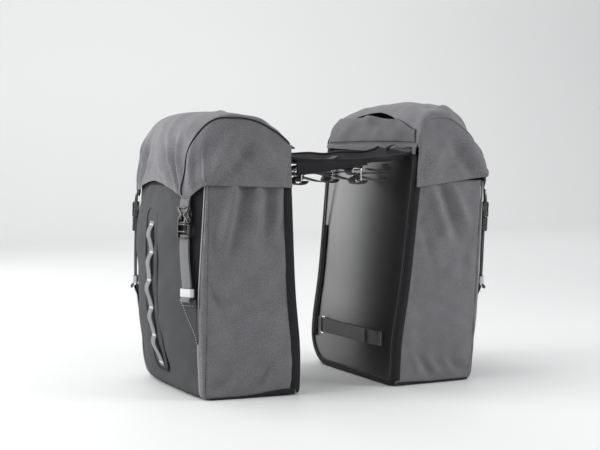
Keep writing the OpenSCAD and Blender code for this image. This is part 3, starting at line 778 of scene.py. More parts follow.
for bag in SIDES:
    near = [(-0.1185, 0.0012), (-0.108, 0.0014), (-0.100, 0.0032), (-0.070, 0.0048), (-0.020, 0.0046), (0.030, 0.0040),
            (0.080, 0.0040), (0.0965, 0.0044), (0.1005, 0.0062), (0.097, 0.0080), (0.085, 0.0074), (0.030, 0.0064),
            (-0.030, 0.0070), (-0.070, 0.0074)]
    strap = sweep_along("strap", on_back_strip(bag, near), tape_outline, (0, 0, 1.0))
    far = [(0.1315, 0.0012), (0.118, 0.0013), (0.1105, 0.0034), (0.1065, 0.0056), (0.110, 0.0072), (0.118, 0.0050)]
    loop = sweep_along("loop", on_back_strip(bag, far), tape_outline, (0, 0, 1.0))
    strap = join(f"{bag}_lower_strap", [strap, loop])
    dress(strap, black_webbing, f"{bag}_bag", f"{bag}_rack_strap", slot="black_webbing")
    marks = []
    for y in (-0.1160, -0.1080, 0.1200, 0.1290):
        line = back_face(bag, np.full(12, y), np.linspace(STRAP_Z - 0.0105, STRAP_Z + 0.0105, 12), 0.0030)
        marks.append(stitches("marks", line, (-SIDES[bag], 0, 0), pitch=0.0021, length=0.0022, radius=0.0005))
    for level in (-0.0105, 0.0105):
        for low, high in ((-0.1160, -0.1080), (0.1200, 0.1290)):
            line = back_face(bag, np.linspace(low, high, 8), STRAP_Z + level, 0.0030)
            marks.append(stitches("marks", line, (-SIDES[bag], 0, 0), pitch=0.0024, length=0.0022, radius=0.0005))
    dress(join(f"{bag}_lower_strap_stitches", marks), thread_grey, f"{bag}_bag", slot="black_webbing")
    loop_path = [(0.0995, STRAP_Z - 0.0152), (0.1085, STRAP_Z - 0.0152),
                 (0.1085, STRAP_Z + 0.0152), (0.0995, STRAP_Z + 0.0152)]
    pts = []
    for k in range(4):
        a, b, c = np.array(loop_path[k - 1]), np.array(loop_path[k]), np.array(loop_path[(k + 1) % 4])
        for w in np.linspace(0, 1, 6):
            p = b + 0.0022 * ((1 - w) ** 2 * (a - b) / np.linalg.norm(a - b) + w ** 2 * (c - b) / np.linalg.norm(c - b))
            pts.append(p)
    ring = back_face(bag, np.array(pts)[:, 0], np.array(pts)[:, 1], 0.0052)
    ring = sweep_along(f"{bag}_lower_ring", ring, round_outline(0.0026, 0.0022, 0.0009), (1.0, 0, 0), closed=True)
    dress(ring, chrome, f"{bag}_bag", f"{bag}_strap_ring", slot="ring_metal")

# ---- Collar: a sleeve of thin black nylon inside the mouth, gathered on a drawcord with a cord lock.
# It closes the bag under the lid and shows as black cloth under the lid's lifted corners.
moulded, moulded_tree, moulded_shader = new_material("moulded_acetal", (0.014, 0.014, 0.015), 0.22, IOR=1.70)
moulded_grain = noise_on(moulded_tree, node(moulded_tree, "ShaderNodeTexCoord").outputs["Object"], 700.0)
add_relief(moulded_tree, moulded_shader, moulded_grain, 0.3, 0.00008)


def power(x, p):
    return np.sign(x) * np.abs(x) ** p


for bag in SIDES:
    a, t = np.meshgrid(np.linspace(0, 2 * np.pi, 160, endpoint=False), np.linspace(0, 1, 26))
    z = 0.322 + 0.070 * t
    inset = 0.006 * t
    near_u = inner_u(bag, z) + 0.0095 + inset
    far_u = outer_u(bag, z) - 0.0085 - inset
    gather = 0.0016 * t * np.sin(46 * a + 0.8 * np.sin(5 * a)) + 0.001 * t * np.sin(17 * a)
    u = (near_u + far_u) / 2 + ((far_u - near_u) / 2 + gather) * power(np.cos(a), 0.35)
    y = (SEAM_HALF - 0.012 - inset + gather) * power(np.sin(a), 0.35)
    collar = cloth(f"{bag}_collar_cloth", place(bag, u, y, z), 0.0010, wrap=True)
    dress(collar, black_cloth, f"{bag}_bag", f"{bag}_collar", slot="black_fabric")
    for name, finish in (("drawcord", elastic), ("cord_lock", moulded), ("lock_plunger", moulded)):
        paint_node(f"{bag}_{name}", finish)

# ---- Daisy chain: a raised rounded patch on the front panel, with 20 mm grey webbing tacked down at six
# places so that five open loops stand off it. The tacks are dense bars of pale reflective thread.
WEB = 0.020
TACK_TOP, TACK_PITCH, PATCH_TOP, PATCH_LOW = 0.279, 0.047, 0.305, 0.032
grey_webbing = webbing_finish("grey_webbing", (0.055, 0.055, 0.058), (0.165, 0.165, 0.170))
pale_thread, _, _ = new_material("reflective_thread", (0.50, 0.51, 0.52), 0.45)


def patch_ring(grow, steps=10):
    half, r = 0.029 + grow, 0.014 + grow
    low, high = PATCH_LOW - grow, PATCH_TOP + grow
    pts = []
    for cy, cz, start in ((-half + r, low + r, 180), (half - r, low + r, 270),
                          (half - r, high - r, 0), (-half + r, high - r, 90)):
        for a in np.radians(np.linspace(start, start + 90, steps)):
            pts.append((cy + r * math.cos(a), cz + r * math.sin(a)))
    return dense(np.array(pts), 0.005)


for bag in SIDES:
    ring = patch_ring(0)
    middle = ring.mean(0)
    rows = []
    for k, lift in ((0.02, 0.0018), (0.3, 0.0018), (0.6, 0.0018), (0.85, 0.0018),
                    (0.955, 0.0018), (0.985, 0.0015), (1.0, 0.0006), (1.002, -0.0006)):
        pts = middle + (ring - middle) * k
        s = pts[:, 0] / SEAM_HALF
        rows.append(front_face(bag, s, pts[:, 1], front_relief(bag, s, pts[:, 1]) + lift))
    out = np.zeros((len(rows), len(ring), 3))
    out[..., 0] = SIDES[bag]
    patch = cloth(f"{bag}_chain_patch_cloth", np.array(rows), 0.0008, wrap=True, out=out)
    dress(patch, smooth_grey, f"{bag}_bag", f"{bag}_chain_patch", slot="front_fabric")
    # a black tube sunk round the patch's edge paints the shade where the raised patch meets the front panel
    edge = patch_ring(0.0008)
    painted_edge_shadow = front_face(bag, edge[:, 0] / SEAM_HALF, edge[:, 1], 0.0004)
    piping = tube(f"{bag}_patch_edge_shadow", painted_edge_shadow, 0.0021, 8, closed=True)
    dress(piping, black_cloth, f"{bag}_bag", slot="black_fabric")
    edge = patch_ring(-0.0045)
    s = edge[:, 0] / SEAM_HALF
    row = stitches(f"{bag}_patch_stitches", front_face(bag, s, edge[:, 1], front_relief(bag, s, edge[:, 1]) + 0.0020),
                   (SIDES[bag], 0, 0), radius=0.0003)
    dress(row, thread_black, f"{bag}_bag", slot="front_fabric")
    z = np.linspace(TACK_TOP - 5 * TACK_PITCH - 0.006, TACK_TOP + 0.006, 181)
    phase = (TACK_TOP - z) / TACK_PITCH
    loose = (phase > 0) * (phase < 5)
    bulge = np.abs(np.sin(np.pi * phase)) ** 0.9 * loose
    sideways = 0.0022 * np.sin(2 * np.pi * phase + 0.6) * bulge
    sag = 0.0022 * np.sin(2 * np.pi * phase) * loose
    path = front_face(bag, sideways / SEAM_HALF, z,
                      front_relief(bag, np.zeros_like(z), z) + 0.0027 + np.maximum(0, 0.0050 * bulge + 0.6 * sag))
    chain = sweep_along(f"{bag}_chain", path, round_outline(WEB, 0.0014, 0.0006), (0, 1.0, 0))
    dress(chain, grey_webbing, f"{bag}_bag", f"{bag}_daisy_chain", slot="grey_webbing")
    bars = []
    for k in range(6):
        level = TACK_TOP - k * TACK_PITCH
        for row_z in (-0.0008, 0.0008):
            z = np.full(9, level + row_z)
            line = front_face(bag, np.linspace(-0.0085, 0.0085, 9) / SEAM_HALF, z,
                              front_relief(bag, np.zeros(9), z) + 0.0038)
            bars.append(tube("bar", line, 0.00085, 6))
    dress(join(f"{bag}_bar_tacks", bars), pale_thread, f"{bag}_bag", slot="reflective_elastic")

# ---- Lid: a hood of grey woven cloth cut as one long top and two end skirts, joined by black piping over
# each arch. It is sewn down along the back panel's top, and its front corners dip to the closing straps.
CROWN = {"left": 0.057, "right": 0.079}
PEAK = {"left": (0.66, 0.50), "right": (0.34, 0.50)}     # where the arch is highest, at the near and far end
FULLNESS = {"left": 2.6, "right": 2.2}                   # exponent of the arch
ROLL = {"left": (0.005, 0.014), "right": (0.012, 0.016)}  # rounding of the near and far edge of the top
SHOULDER_IN = {"left": 0.0, "right": 0.024}              # slack that lets the near outer shoulder sink in
END_HEM = {"left": (0.343, 0.348), "right": (0.341, 0.358)}   # height of an end skirt's hem, back and front
LID_OFF = 0.0044
ARC = 0.74
SKIRT_ROWS = 30


def hem_at(bag, t):
    """Height of the front hem: a shallow arch between the two strap corners, then a slant up to the ends."""
    t = np.abs(t)
    tip = END_HEM[bag][1] - 0.024
    arch = END_HEM[bag][1] + 0.005 + (tip - END_HEM[bag][1] - 0.005) * (t / HEM_CORNER) ** 1.7
    slant = tip + (END_HEM[bag][1] - tip) * (t - HEM_CORNER) / (1 - HEM_CORNER)
    return np.where(t < HEM_CORNER, arch, slant)


def lid_profile(bag, s, t):
    """u and z of the lid at s, from the back panel over the top and down the front, for cross place t."""
    sink = SHOULDER_IN[bag] * ease(-0.55, -1.0, t) + 0.012 * ease(0.1, 1.0, t)
    near_u = inner_u(bag, LID_HINGE) - 0.0005
    far_u = front_u(bag, t, 0.40) + LID_OFF + 0.004 - sink
    bend = np.cos(np.pi * np.minimum(s / ARC, 1))
    peak = PEAK[bag][0] + (PEAK[bag][1] - PEAK[bag][0]) * (t + 1) / 2
    w = (0.5 - bend / 2) ** (np.log(peak) / np.log(0.5))
    slump = (0.50 if bag == "right" else 0.0) * ease(0.0, -1.0, t) * ease(0.0, -0.5, bend)
    h = np.maximum(0, 1 - np.abs(bend) ** FULLNESS[bag]) ** (0.4545 + slump)
    end_rise = 0.86 if bag == "left" else 0.78
    top = LID_HINGE + CROWN[bag] * (end_rise + (1 - end_rise) * (1 - t * t))
    foot = 0.409 - 0.017 * w
    u = near_u + (far_u - near_u) * w
    z = foot + (top - foot) * h
    roll = np.where(t < 0, ROLL[bag][0], ROLL[bag][1])
    over = np.clip((np.abs(t) - 1 + roll / 0.155) / (roll / 0.155), 0, 1)
    z = z - roll * (1 - np.sqrt(1 - over ** 2 * 0.999)) * np.minimum(1, 1.3 * h)
    drop = np.clip((s - ARC) / (1 - ARC), 0, 1)
    z = np.where(s > ARC, 0.392 - (0.392 - hem_at(bag, t)) * drop, z)
    u = np.where(s > ARC, front_u(bag, t, z) + LID_OFF + 0.004 * (1 - drop) + 0.0015 * drop ** 3
                 - sink * (1 - drop) ** 0.7, u)
    corner = ease(0.62, 0.90, np.abs(t)) * ease(0.45, 0.75, s) * ease(1.0, 0.85, s)
    return u + 0.006 * corner, z


def lid_y(bag, u, t):
    share = np.clip((u - inner_u(bag, 0.345)) / (outer_u(bag, 0.345) - inner_u(bag, 0.345)), 0, 1.05)
    return t * (end_half(share) + LID_OFF)


def lid_grid(bag, rows=150, cols=150):
    """Rows run from the back panel over to the front hem; columns from the near hem over to the far hem."""
    s = np.linspace(0, 1, rows)[:, None]
    t = np.sin(np.pi / 2 * np.linspace(-1, 1, cols))[None, :]
    u, z = lid_profile(bag, s, t)
    top = np.stack([u, lid_y(bag, u, np.broadcast_to(t, u.shape)), z], -1)
    ends = []
    for side in (-1, 1):
        edge_u, edge_z = lid_profile(bag, s[:, 0], np.full(rows, float(side)))
        along = np.minimum(1, s[:, 0] / 0.70)
        hem_z = END_HEM[bag][0] + (END_HEM[bag][1] - END_HEM[bag][0]) * along
        hem_z = np.minimum(edge_z, hem_z)
        inner = inner_u(bag, hem_z) + 0.001
        hem_u = inner + along * (outer_u(bag, hem_z) + LID_OFF + 0.0015 - inner)
        w = np.linspace(1, 0, SKIRT_ROWS, endpoint=False)[None, :]
        uu = edge_u[:, None] + (hem_u - edge_u)[:, None] * w
        zz = edge_z[:, None] + (hem_z - edge_z)[:, None] * w
        share = np.clip((uu - inner_u(bag, zz)) / (outer_u(bag, zz) - inner_u(bag, zz)), 0, 1.0)
        yy = side * (end_half(share) + LID_OFF + 0.0034 * w ** 3 + 0.004 * np.sin(np.pi * w) * along[:, None])
        ends.append(np.stack([uu, yy, zz], -1))
    return np.concatenate([ends[0], top, ends[1][:, ::-1]], 1)


def lid_relief(bag, grid):
    """Folds: fans from the strap corners up the front, slack across the end skirts, creases on the crown."""
    u, y, z = grid[..., 0], grid[..., 1], grid[..., 2]
    seed = 200 + 50 * SIDES[bag]
    ay = np.abs(y)
    x = u - inner_u(bag, z)
    on_front = ease(0.135, 0.160, x) * ease(0.318, 0.335, z) * ease(0.155, 0.140, ay)
    fan = folded(ay, z, (
        (0.0080, (0.118, 0.325), (0.094, 0.440), 0.0070),
        (-0.0060, (0.110, 0.330), (0.074, 0.430), 0.0065),
        (0.0065, (0.102, 0.332), (0.050, 0.435), 0.0070),
        (-0.0045, (0.090, 0.338), (0.028, 0.425), 0.0080),
        (0.0030, (0.070, 0.342), (0.010, 0.400), 0.0080),
        (0.0050, (0.134, 0.335), (0.143, 0.430), 0.0070)))
    on_end = ease(0.140, 0.150, ay)
    slack = folded(x, z, (
        (0.0060, (0.152, 0.345), (0.085, 0.448), 0.012),
        (-0.0050, (0.122, 0.350), (0.050, 0.440), 0.011),
        (0.0042, (0.015, 0.350), (0.062, 0.432), 0.010),
        (-0.0036, (0.045, 0.345), (0.100, 0.425), 0.011),
        (0.0030, (0.090, 0.350), (0.140, 0.400), 0.009)))
    on_top = ease(0.425, 0.445, z)
    crown = folded(ay, x, (
        (0.0036, (0.142, 0.112), (0.060, 0.078), 0.010),
        (-0.0036, (0.146, 0.088), (0.080, 0.048), 0.010),
        (0.0034, (0.150, 0.058), (0.070, 0.022), 0.010)))
    soft = 0.0022 * waves(u + 0.3 * z, y, 0.130, seed) + 0.0007 * waves(u + z, y, 0.045, seed + 1)
    if bag == "right":
        soft, crown = 0.6 * soft, 0.35 * crown
        dent = np.exp(-((x - 0.035) / 0.016) ** 2 - ((y + 0.125) / 0.018) ** 2) * on_top
        soft = soft - 0.004 * dent + 0.006 * ridge(x, y, (0.040, -0.140), (0.120, -0.120), 0.009) * on_top
        soft = soft - 0.005 * ridge(x, y, (0.030, -0.120), (0.060, -0.030), 0.010) * on_top
    quiet = ease(0.400, 0.425, z + 4 * x) * (1 - 0.7 * ease(0.365, 0.350, z) * on_end)
    return quiet * (soft + on_front * fan + on_end * (1 - on_top) * slack + on_top * crown)


lid_lines = {}
for bag in SIDES:
    grid = lid_grid(bag)
    flat = place(bag, grid[..., 0], grid[..., 1], grid[..., 2])
    out = normals_of(flat)
    middle = np.array([SIDES[bag] * (inner_u(bag, 0.4) + 0.08) + PAIR_SHIFT, 0, 0.38])
    flip = np.sign(((flat - middle) * out).sum(-1, keepdims=True))
    out = out * np.where(flip == 0, 1, flip)
    lid_points = flat + out * lid_relief(bag, grid)[..., None]
    lid = cloth(f"{bag}_lid_cloth", lid_points, 0.0013, out=out, merge=0.00012)
    dress(lid, heather_grey, f"{bag}_lid", f"{bag}_lid", slot="lid_fabric")
    lid_lines[bag] = (lid_points, out)



def on_lid(bag, s, t, lift=0.0):
    """Points on the finished lid: s from the back panel to the front hem, t from the near end to the far end."""
    points, out = lid_lines[bag]
    rows, cols = points.shape[:2]
    s, t = np.broadcast_arrays(np.asarray(s, float), np.asarray(t, float))
    row = np.clip(s, 0, 1) * (rows - 1)
    column = SKIRT_ROWS + (np.arcsin(np.clip(t, -1, 1)) / (np.pi / 2) + 1) / 2 * (cols - 2 * SKIRT_ROWS - 1)
    j, i = np.minimum(row.astype(int), rows - 2), np.minimum(column.astype(int), cols - 2)
    fj, fi = (row - j)[..., None], (column - i)[..., None]
    made = 0
    for dj, di, part in ((0, 0, (1 - fj) * (1 - fi)), (0, 1, (1 - fj) * fi),
                         (1, 0, fj * (1 - fi)), (1, 1, fj * fi)):
        made = made + part * (points[j + dj, i + di] + lift_of(lift, out[j + dj, i + di]))
    return made


def lift_of(lift, way):
    return np.asarray(lift, float)[..., None] * way


# ---- Hinge strip: the same grey cloth, sewn to the top of the back panel under the lid. It hides the raw edge
# of the back panel.
# a darker copy of the lid's heather grey for the hinge strip and storm flap: painted shade for the lid's inner side,
# which the lamps light too brightly
painted_shade_grey = woven("painted_shade_grey", (0.052, 0.051, 0.055), (0.138, 0.135, 0.144), heather=1.0)
for bag in SIDES:
    t, w = np.meshgrid(np.linspace(-0.995, 0.995, 90), np.linspace(0, 1, 14))
    y = t * BACK_HALF
    low = 0.397 + 0.011 * (t + 1) / 2
    z = low + (0.419 - low) * w
    u = inner_u(bag, z) - 0.0034 + 0.0040 * ease(0.4, 1.0, w) + 0.0005 * waves(y, z, 0.05, 301)
    strip = cloth(f"{bag}_hinge_strip", place(bag, u, y, z), 0.0011)
    dress(strip, painted_shade_grey, None, slot="lid_fabric")
    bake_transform(strip)

# ---- Storm flap: a second layer of the lid's cloth on its inner side, in the darker copy that paints shade.
# Its folded top edge stands open a little in the middle, over a gap whose shadow is painted by a near-black sheet.
# near-black finish with no shine: painted shadow for the gap under the flap's open edge
painted_gap_shadow, _, _ = new_material("painted_gap_shadow", (0.0015, 0.0015, 0.0016), 1.0, Specular_IOR_Level=0.0)
for bag in SIDES:
    t = np.linspace(-0.93, 0.95, 120)
    goal = 0.461 - 0.004 * ease(0.2, -0.5, t) - 0.020 * ease(-0.5, -0.97, t) - (0.027 if bag == "left" else 0.0)
    stations = np.linspace(0.005, 0.33, 90)
    heights = np.stack([on_lid(bag, stations, np.full(90, k))[:, 2] for k in t])
    top_s = np.array([stations[min(89, int(np.argmax(h >= g)) if (h >= g).any() else 89)] for h, g in zip(heights, goal)])
    top_s = np.convolve(np.pad(top_s, 4, mode="edge"), np.ones(9) / 9, "valid")
    share, across = np.meshgrid(np.linspace(0, 1, 26), t, indexing="ij")
    gape = np.exp(-((across - 0.02) / 0.20) ** 2)
    lift = 0.0018 + 0.0008 * waves(across * 0.15, share * 0.05, 0.05, 401) + (0.0095 if bag == "right" else 0.0020) * gape * ease(0.6, 1.0, share)
    flap = cloth(f"{bag}_storm_flap", on_lid(bag, 0.026 + (top_s[None] - 0.026) * share, across, lift), CLOTH)
    dress(flap, painted_shade_grey, f"{bag}_lid", slot="lid_fabric")
    # a real folded hem, given the darker front-panel cloth so that it also paints the shadow line under the flap's edge
    edge = tube(f"{bag}_flap_hem_shadow_line", on_lid(bag, top_s, t, lift[-1] - 0.0004), 0.0011, 8)
    dress(edge, smooth_grey, f"{bag}_lid", slot="lid_fabric")
    # the sheet in the gap below the flap's edge carries the painted shadow of the opening
    share, across = np.meshgrid(np.linspace(0, 1, 8), np.linspace(-0.90, 0.93, 110), indexing="ij")
    lens = 0.0045 + np.maximum(0, np.cos(np.pi / 2 * np.clip(across / 0.46, -1, 1))) ** 0.7 * 0.040
    level = np.interp(across, t, top_s)
    gap = cloth(f"{bag}_flap_gap_shadow", on_lid(bag, level - 0.004 + (0.004 + lens) * share, across, 0.0006), 0.0004)
    dress(gap, painted_gap_shadow, f"{bag}_lid", slot="black_fabric")

# ---- Lid piping: black cord in a folded strip, caught in the seam between the lid's top and its end
# skirts. It runs up over the arch and down the corner to the closing strap.
for bag in SIDES:
    for side, word in ENDS:
        share = np.linspace(0.02, 0.985, 140)
        path = on_lid(bag, share, side * (1 - 0.235 * ease(0.40, 0.97, share) ** 1.2), 0.0006)
        soft = np.stack([np.convolve(np.pad(path[:, c], 2, mode="edge"), np.ones(5) / 5, "valid") for c in range(3)], -1)
        pipe = tube(f"{bag}_{word}_pipe", soft, 0.0014, 8)
        shown = heather_grey if (bag, word) == ("right", "near") else black_cloth
        dress(pipe, shown, f"{bag}_lid", f"{bag}_lid_piping", slot="black_fabric")

# ---- Closing straps: 20 mm grey webbing from a sewn triangular anchor up to the buckle, its tail lying
# over it through a pale reflective elastic keeper. A short tab on the lid holds the female half.
STRAP_FOOT = 0.158
STRAP_TURN = math.radians(24)
BUCKLE_Z = 0.262


def strap_space(bag, side):
    """Origin and the three directions (out, across, up) of a closing strap, as the CAD sets it out."""
    foot = front_u(bag, HEM_CORNER, STRAP_FOOT)
    tilt = math.atan((front_u(bag, HEM_CORNER, BUCKLE_Z + 0.028) - foot) / (BUCKLE_Z + 0.028 - STRAP_FOOT))
    origin = np.array([foot, side * HEM_CORNER * SEAM_HALF, STRAP_FOOT])
    turn = side * STRAP_TURN
    outward = np.array([math.cos(tilt) * math.cos(turn), math.cos(tilt) * math.sin(turn), -math.sin(tilt)])
    across = np.array([-math.sin(turn), math.cos(turn), 0])
    up = np.array([math.sin(tilt) * math.cos(turn), math.sin(tilt) * math.sin(turn), math.cos(tilt)])
    flip = np.array([SIDES[bag], 1, 1])
    return origin * flip + (PAIR_SHIFT, 0, 0), outward * flip, across * flip, up * flip


def in_strap(space, x, y, z):
    origin, outward, across, up = space
    x, y, z = np.broadcast_arrays(np.asarray(x, float), np.asarray(y, float), np.asarray(z, float))
    return origin + x[..., None] * outward + y[..., None] * across + (z[..., None] - STRAP_FOOT) * up


def bar(space, centre, size, r):
    """A moulded bar with rounded edges, across the strap."""
    x, y, z = centre
    path = in_strap(space, x, np.linspace(y - size[1] / 2, y + size[1] / 2, 2), z)
    return sweep_along("bar", path, round_outline(size[2], size[0], r), space[3])


def rod(space, points, outline, guide=1):
    path = smooth_path(points, 6)
    return sweep_along("rod", in_strap(space, path[:, 0], path[:, 1], path[:, 2]), outline, space[guide])


silver_elastic = webbing_finish("reflective_elastic", (0.40, 0.41, 0.42), (0.66, 0.67, 0.68), 0.0011)
strap_outline = round_outline(WEB, 0.0014, 0.0006)
for bag in SIDES:
    webs, keepers, tabs, tab_stitches, anchor_parts, anchor_rows = [], [], [], [], [], []
    females = []
    for side, word in ENDS:
        space = strap_space(bag, side)
        foot = side * 0.0085
        lower = [(0.0026, foot, 0.152), (0.0040, foot, 0.160), (0.0060, foot * 0.8, 0.180),
                 (0.0062, foot * 0.25, 0.220), (0.0060, 0, 0.242), (0.0060, 0, 0.268)]
        path = smooth_path(lower, 8)
        webs.append(sweep_along("web", in_strap(space, path[:, 0], path[:, 1], path[:, 2]), strap_outline, space[2]))
        tail = [(0.0079, 0, 0.268), (0.0081, 0, 0.242), (0.0082, foot * 0.25, 0.220), (0.0082, foot * 0.85, 0.178),
                (0.0096, foot * 0.9, 0.170), (0.0125, foot, 0.160)]
        path = smooth_path(tail, 8)
        webs.append(sweep_along("web", in_strap(space, path[:, 0], path[:, 1], path[:, 2]), strap_outline, space[2]))
        fold = [(0.0125, foot, 0.160), (0.0142, foot, 0.1615), (0.0138, foot, 0.1645), (0.0118, foot, 0.1665)]
        path = smooth_path(fold, 6)
        webs.append(sweep_along("web", in_strap(space, path[:, 0], path[:, 1], path[:, 2]), strap_outline, space[2]))
        ring = [(0.0037, -0.0114), (0.0037, 0.0114), (0.0112, 0.0114), (0.0112, -0.0114)]
        ring = dense(np.array(ring), 0.002)
        path = in_strap(space, ring[:, 0], ring[:, 1] + foot * 0.9, 0.1745)
        keepers.append(sweep_along("keeper", path, round_outline(0.013, 0.0010, 0.0004), space[3], closed=True))
        level = np.linspace(0.164, 0.092, 24)
        narrow = ease(0.160, 0.092, level)[:, None]
        low_s = 0.785 + (0.925 - 0.785) * narrow
        across = side * (low_s + (0.945 - low_s) * np.linspace(0, 1, 10)[None, :])
        anchor = cloth("anchor", front_face(bag, across, level[:, None] + 0 * across,
                                           0.0032 + 0.0050 * ease(0.146, 0.164, level)[:, None]), 0.0012)
        anchor_parts.append(anchor)
        height = 0.0032 + 0.0050 * ease(0.146, 0.164, level)
        line = front_face(bag, side * (low_s[:, 0] + 0.010), level, height + 0.0012)
        anchor_rows.append(stitches("row", line, front_way(bag, side * low_s[:, 0], level), radius=0.0005))
        line = front_face(bag, side * np.linspace(0.80, 0.93, 12), np.full(12, 0.1540), 0.0075)
        anchor_rows.append(stitches("row", line, front_way(bag, side * np.linspace(0.80, 0.93, 12), np.full(12, 0.1585)),
                                    radius=0.0005))
        tab = [(0.0046, 0, 0.336), (0.0058, 0, 0.322), (0.0066, 0, 0.306), (0.0080, 0, 0.300), (0.0092, 0, 0.304),
               (0.0086, 0, 0.316), (0.0072, 0, 0.326)]
        path = smooth_path(tab, 6)
        tabs.append(sweep_along("tab", in_strap(space, path[:, 0], path[:, 1], path[:, 2]), strap_outline, space[2]))
        for zz in (0.3275, 0.3335):
            line = in_strap(space, 0.0084 - (zz - 0.3275) * 0.2, np.linspace(-0.0085, 0.0085, 12), zz)
            tab_stitches.append(stitches("ts", line, space[1], pitch=0.0018, length=0.0020, radius=0.0005))
        # female half: a sleeve whose front is an hourglass frame round two open triangles
        females.append(bar(space, (0.0062, 0, 0.3115), (0.0084, 0.0250, 0.0036), 0.0014))
        females.append(bar(space, (0.0030, 0, 0.2990), (0.0014, 0.0236, 0.0240), 0.0006))
        females.append(bar(space, (0.0112, 0, 0.2880), (0.0020, 0.0250, 0.0028), 0.0009))
        females.append(bar(space, (0.0108, 0, 0.3118), (0.0026, 0.0236, 0.0030), 0.0011))
        for k in (-1, 1):
            rail = [(0.0066, k * 0.0122, 0.2872), (0.0066, k * 0.0116, 0.2950), (0.0066, k * 0.0088, 0.3010),
                    (0.0066, k * 0.0112, 0.3070), (0.0066, k * 0.0120, 0.3125)]
            females.append(rod(space, rail, round_outline(0.0020, 0.0070, 0.0008), 2))
            frame_rod = [(0.0116, k * 0.0118, 0.2875), (0.0122, k * 0.0084, 0.2935), (0.0125, k * 0.0034, 0.2990),
                         (0.0124, k * 0.0040, 0.3025), (0.0120, k * 0.0084, 0.3070), (0.0112, k * 0.0114, 0.3120)]
            females.append(rod(space, frame_rod, round_outline(0.0036, 0.0024, 0.0011), 2))
        # male half: ladder lock below, prongs inside the female half
        male = [bar(space, (0.0076, 0, 0.2630), (0.0090, 0.0246, 0.0028), 0.0013),
                bar(space, (0.0108, 0, 0.2730), (0.0028, 0.0236, 0.0036), 0.0013),
                bar(space, (0.0076, 0, 0.2846), (0.0088, 0.0246, 0.0032), 0.0013)]
        for k in (-1, 1):
            male.append(rod(space, [(0.0076, k * 0.0116, 0.2620), (0.0076, k * 0.0119, 0.274), (0.0076, k * 0.0116, 0.2856)],
                            round_outline(0.0024, 0.0092, 0.0010), 2))
            male.append(rod(space, [(0.0070, k * 0.0074, 0.285), (0.0070, k * 0.0080, 0.290), (0.0070, k * 0.0074, 0.2955)],
                            round_outline(0.0034, 0.0034, 0.0010), 2))
        male.append(rod(space, [(0.0070, 0, 0.285), (0.0070, 0, 0.291), (0.0070, 0, 0.2945)],
                        round_outline(0.0046, 0.0032, 0.0010), 2))
        buckle = join(f"{bag}_{word}_buckle_lower", male)
        dress(buckle, moulded, f"{bag}_{word}_buckle", f"{bag}_{word}_male_buckle", slot="buckle_plastic")
    web = join(f"{bag}_strap_webbing", webs)
    dress(web, grey_webbing, f"{bag}_straps", f"{bag}_straps", slot="grey_webbing")
    dress(join(f"{bag}_elastic_keepers", keepers), silver_elastic, f"{bag}_straps", f"{bag}_keepers",
          slot="reflective_elastic")
    dress(join(f"{bag}_anchor_tabs", anchor_parts), smooth_grey, f"{bag}_bag", f"{bag}_strap_anchors",
          slot="grey_webbing")
    dress(join(f"{bag}_anchor_stitches", anchor_rows), pale_thread, f"{bag}_bag", slot="grey_webbing")
    dress(join(f"{bag}_lid_webbing", tabs), grey_webbing, f"{bag}_lid", f"{bag}_lid_tabs", slot="grey_webbing")
    dress(join(f"{bag}_tab_stitches", tab_stitches), thread_grey, f"{bag}_lid", slot="grey_webbing")
    dress(join(f"{bag}_buckle_upper", females), moulded, f"{bag}_lid", f"{bag}_female_buckles",
          slot="buckle_plastic")

# ---- Grab handles: a flat loop of black webbing with a rounded edge, sewn at the top of each back panel.
# It lies in over the bridge and lifts up to carry the pair.
for bag in SIDES:
    low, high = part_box(f"{bag}_grab_handle")
    y0, y1 = low.y + 0.004, high.y - 0.004
    x_in = (high.x - 0.001) if bag == "left" else (low.x + 0.001)
    x_root = (low.x + 0.002) if bag == "left" else (high.x - 0.002)
    z = (low.z + high.z) / 2
    x_in = x_in + 0.003 * SIDES[bag]
    loop = [(x_root, y0, z), ((x_root + x_in) / 2, y0 - 0.001, z + 0.0005), (x_in, y0 + 0.007, z), (x_in, (y0 + y1) / 2, z + 0.0060),
            (x_in, y1 - 0.007, z), ((x_root + x_in) / 2, y1 + 0.001, z + 0.0005), (x_root, y1, z)]
    handle = sweep_along(f"{bag}_handle_loop", smooth_path(loop, 8), round_outline(0.0030, 0.0058, 0.0012), (0, 0, 1.0))
    dress(handle, black_webbing, f"{bag}_handle", f"{bag}_grab_handle", slot="black_webbing")

# ---- Bridge: one sheet of black nylon from bag to bag, curved in at both edges and bound with tape. It
# sags over the rack's deck; two webbing strips are sewn across it.
bridge_low, bridge_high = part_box("bridge_panel")
BRIDGE_NEAR, BRIDGE_FAR = -0.146, 0.062


def bridge_point(a, b, lift=0.0):
    """a runs from the left bag to the right one, b from the near edge to the far edge."""
    a, b = np.broadcast_arrays(np.asarray(a, float), np.asarray(b, float))
    x = bridge_low.x + a * (bridge_high.x - bridge_low.x)
    x = x - a * TWIST["right"] * (BACK_HALF + BRIDGE_NEAR + b * (BRIDGE_FAR - BRIDGE_NEAR)) / (2 * BACK_HALF)
    near = BRIDGE_NEAR + 0.006 * np.sin(np.pi * a)
    far = BRIDGE_FAR - 0.030 * np.sin(np.pi * a) - 0.100 * ease(0.55, 0.86, a)
    y = near + b * (far - near)
    hang = np.maximum(0, 1 - np.abs(2 * a - 1) ** 3) ** 0.7
    z = 0.394 + 0.007 * a + 0.009 * b - (0.009 + 0.012 * np.sin(np.pi * b)) * hang
    z = z + 0.0015 * waves(x, y, 0.07, 91) * np.sin(np.pi * a)
    return np.stack([x, y, z + lift], -1)


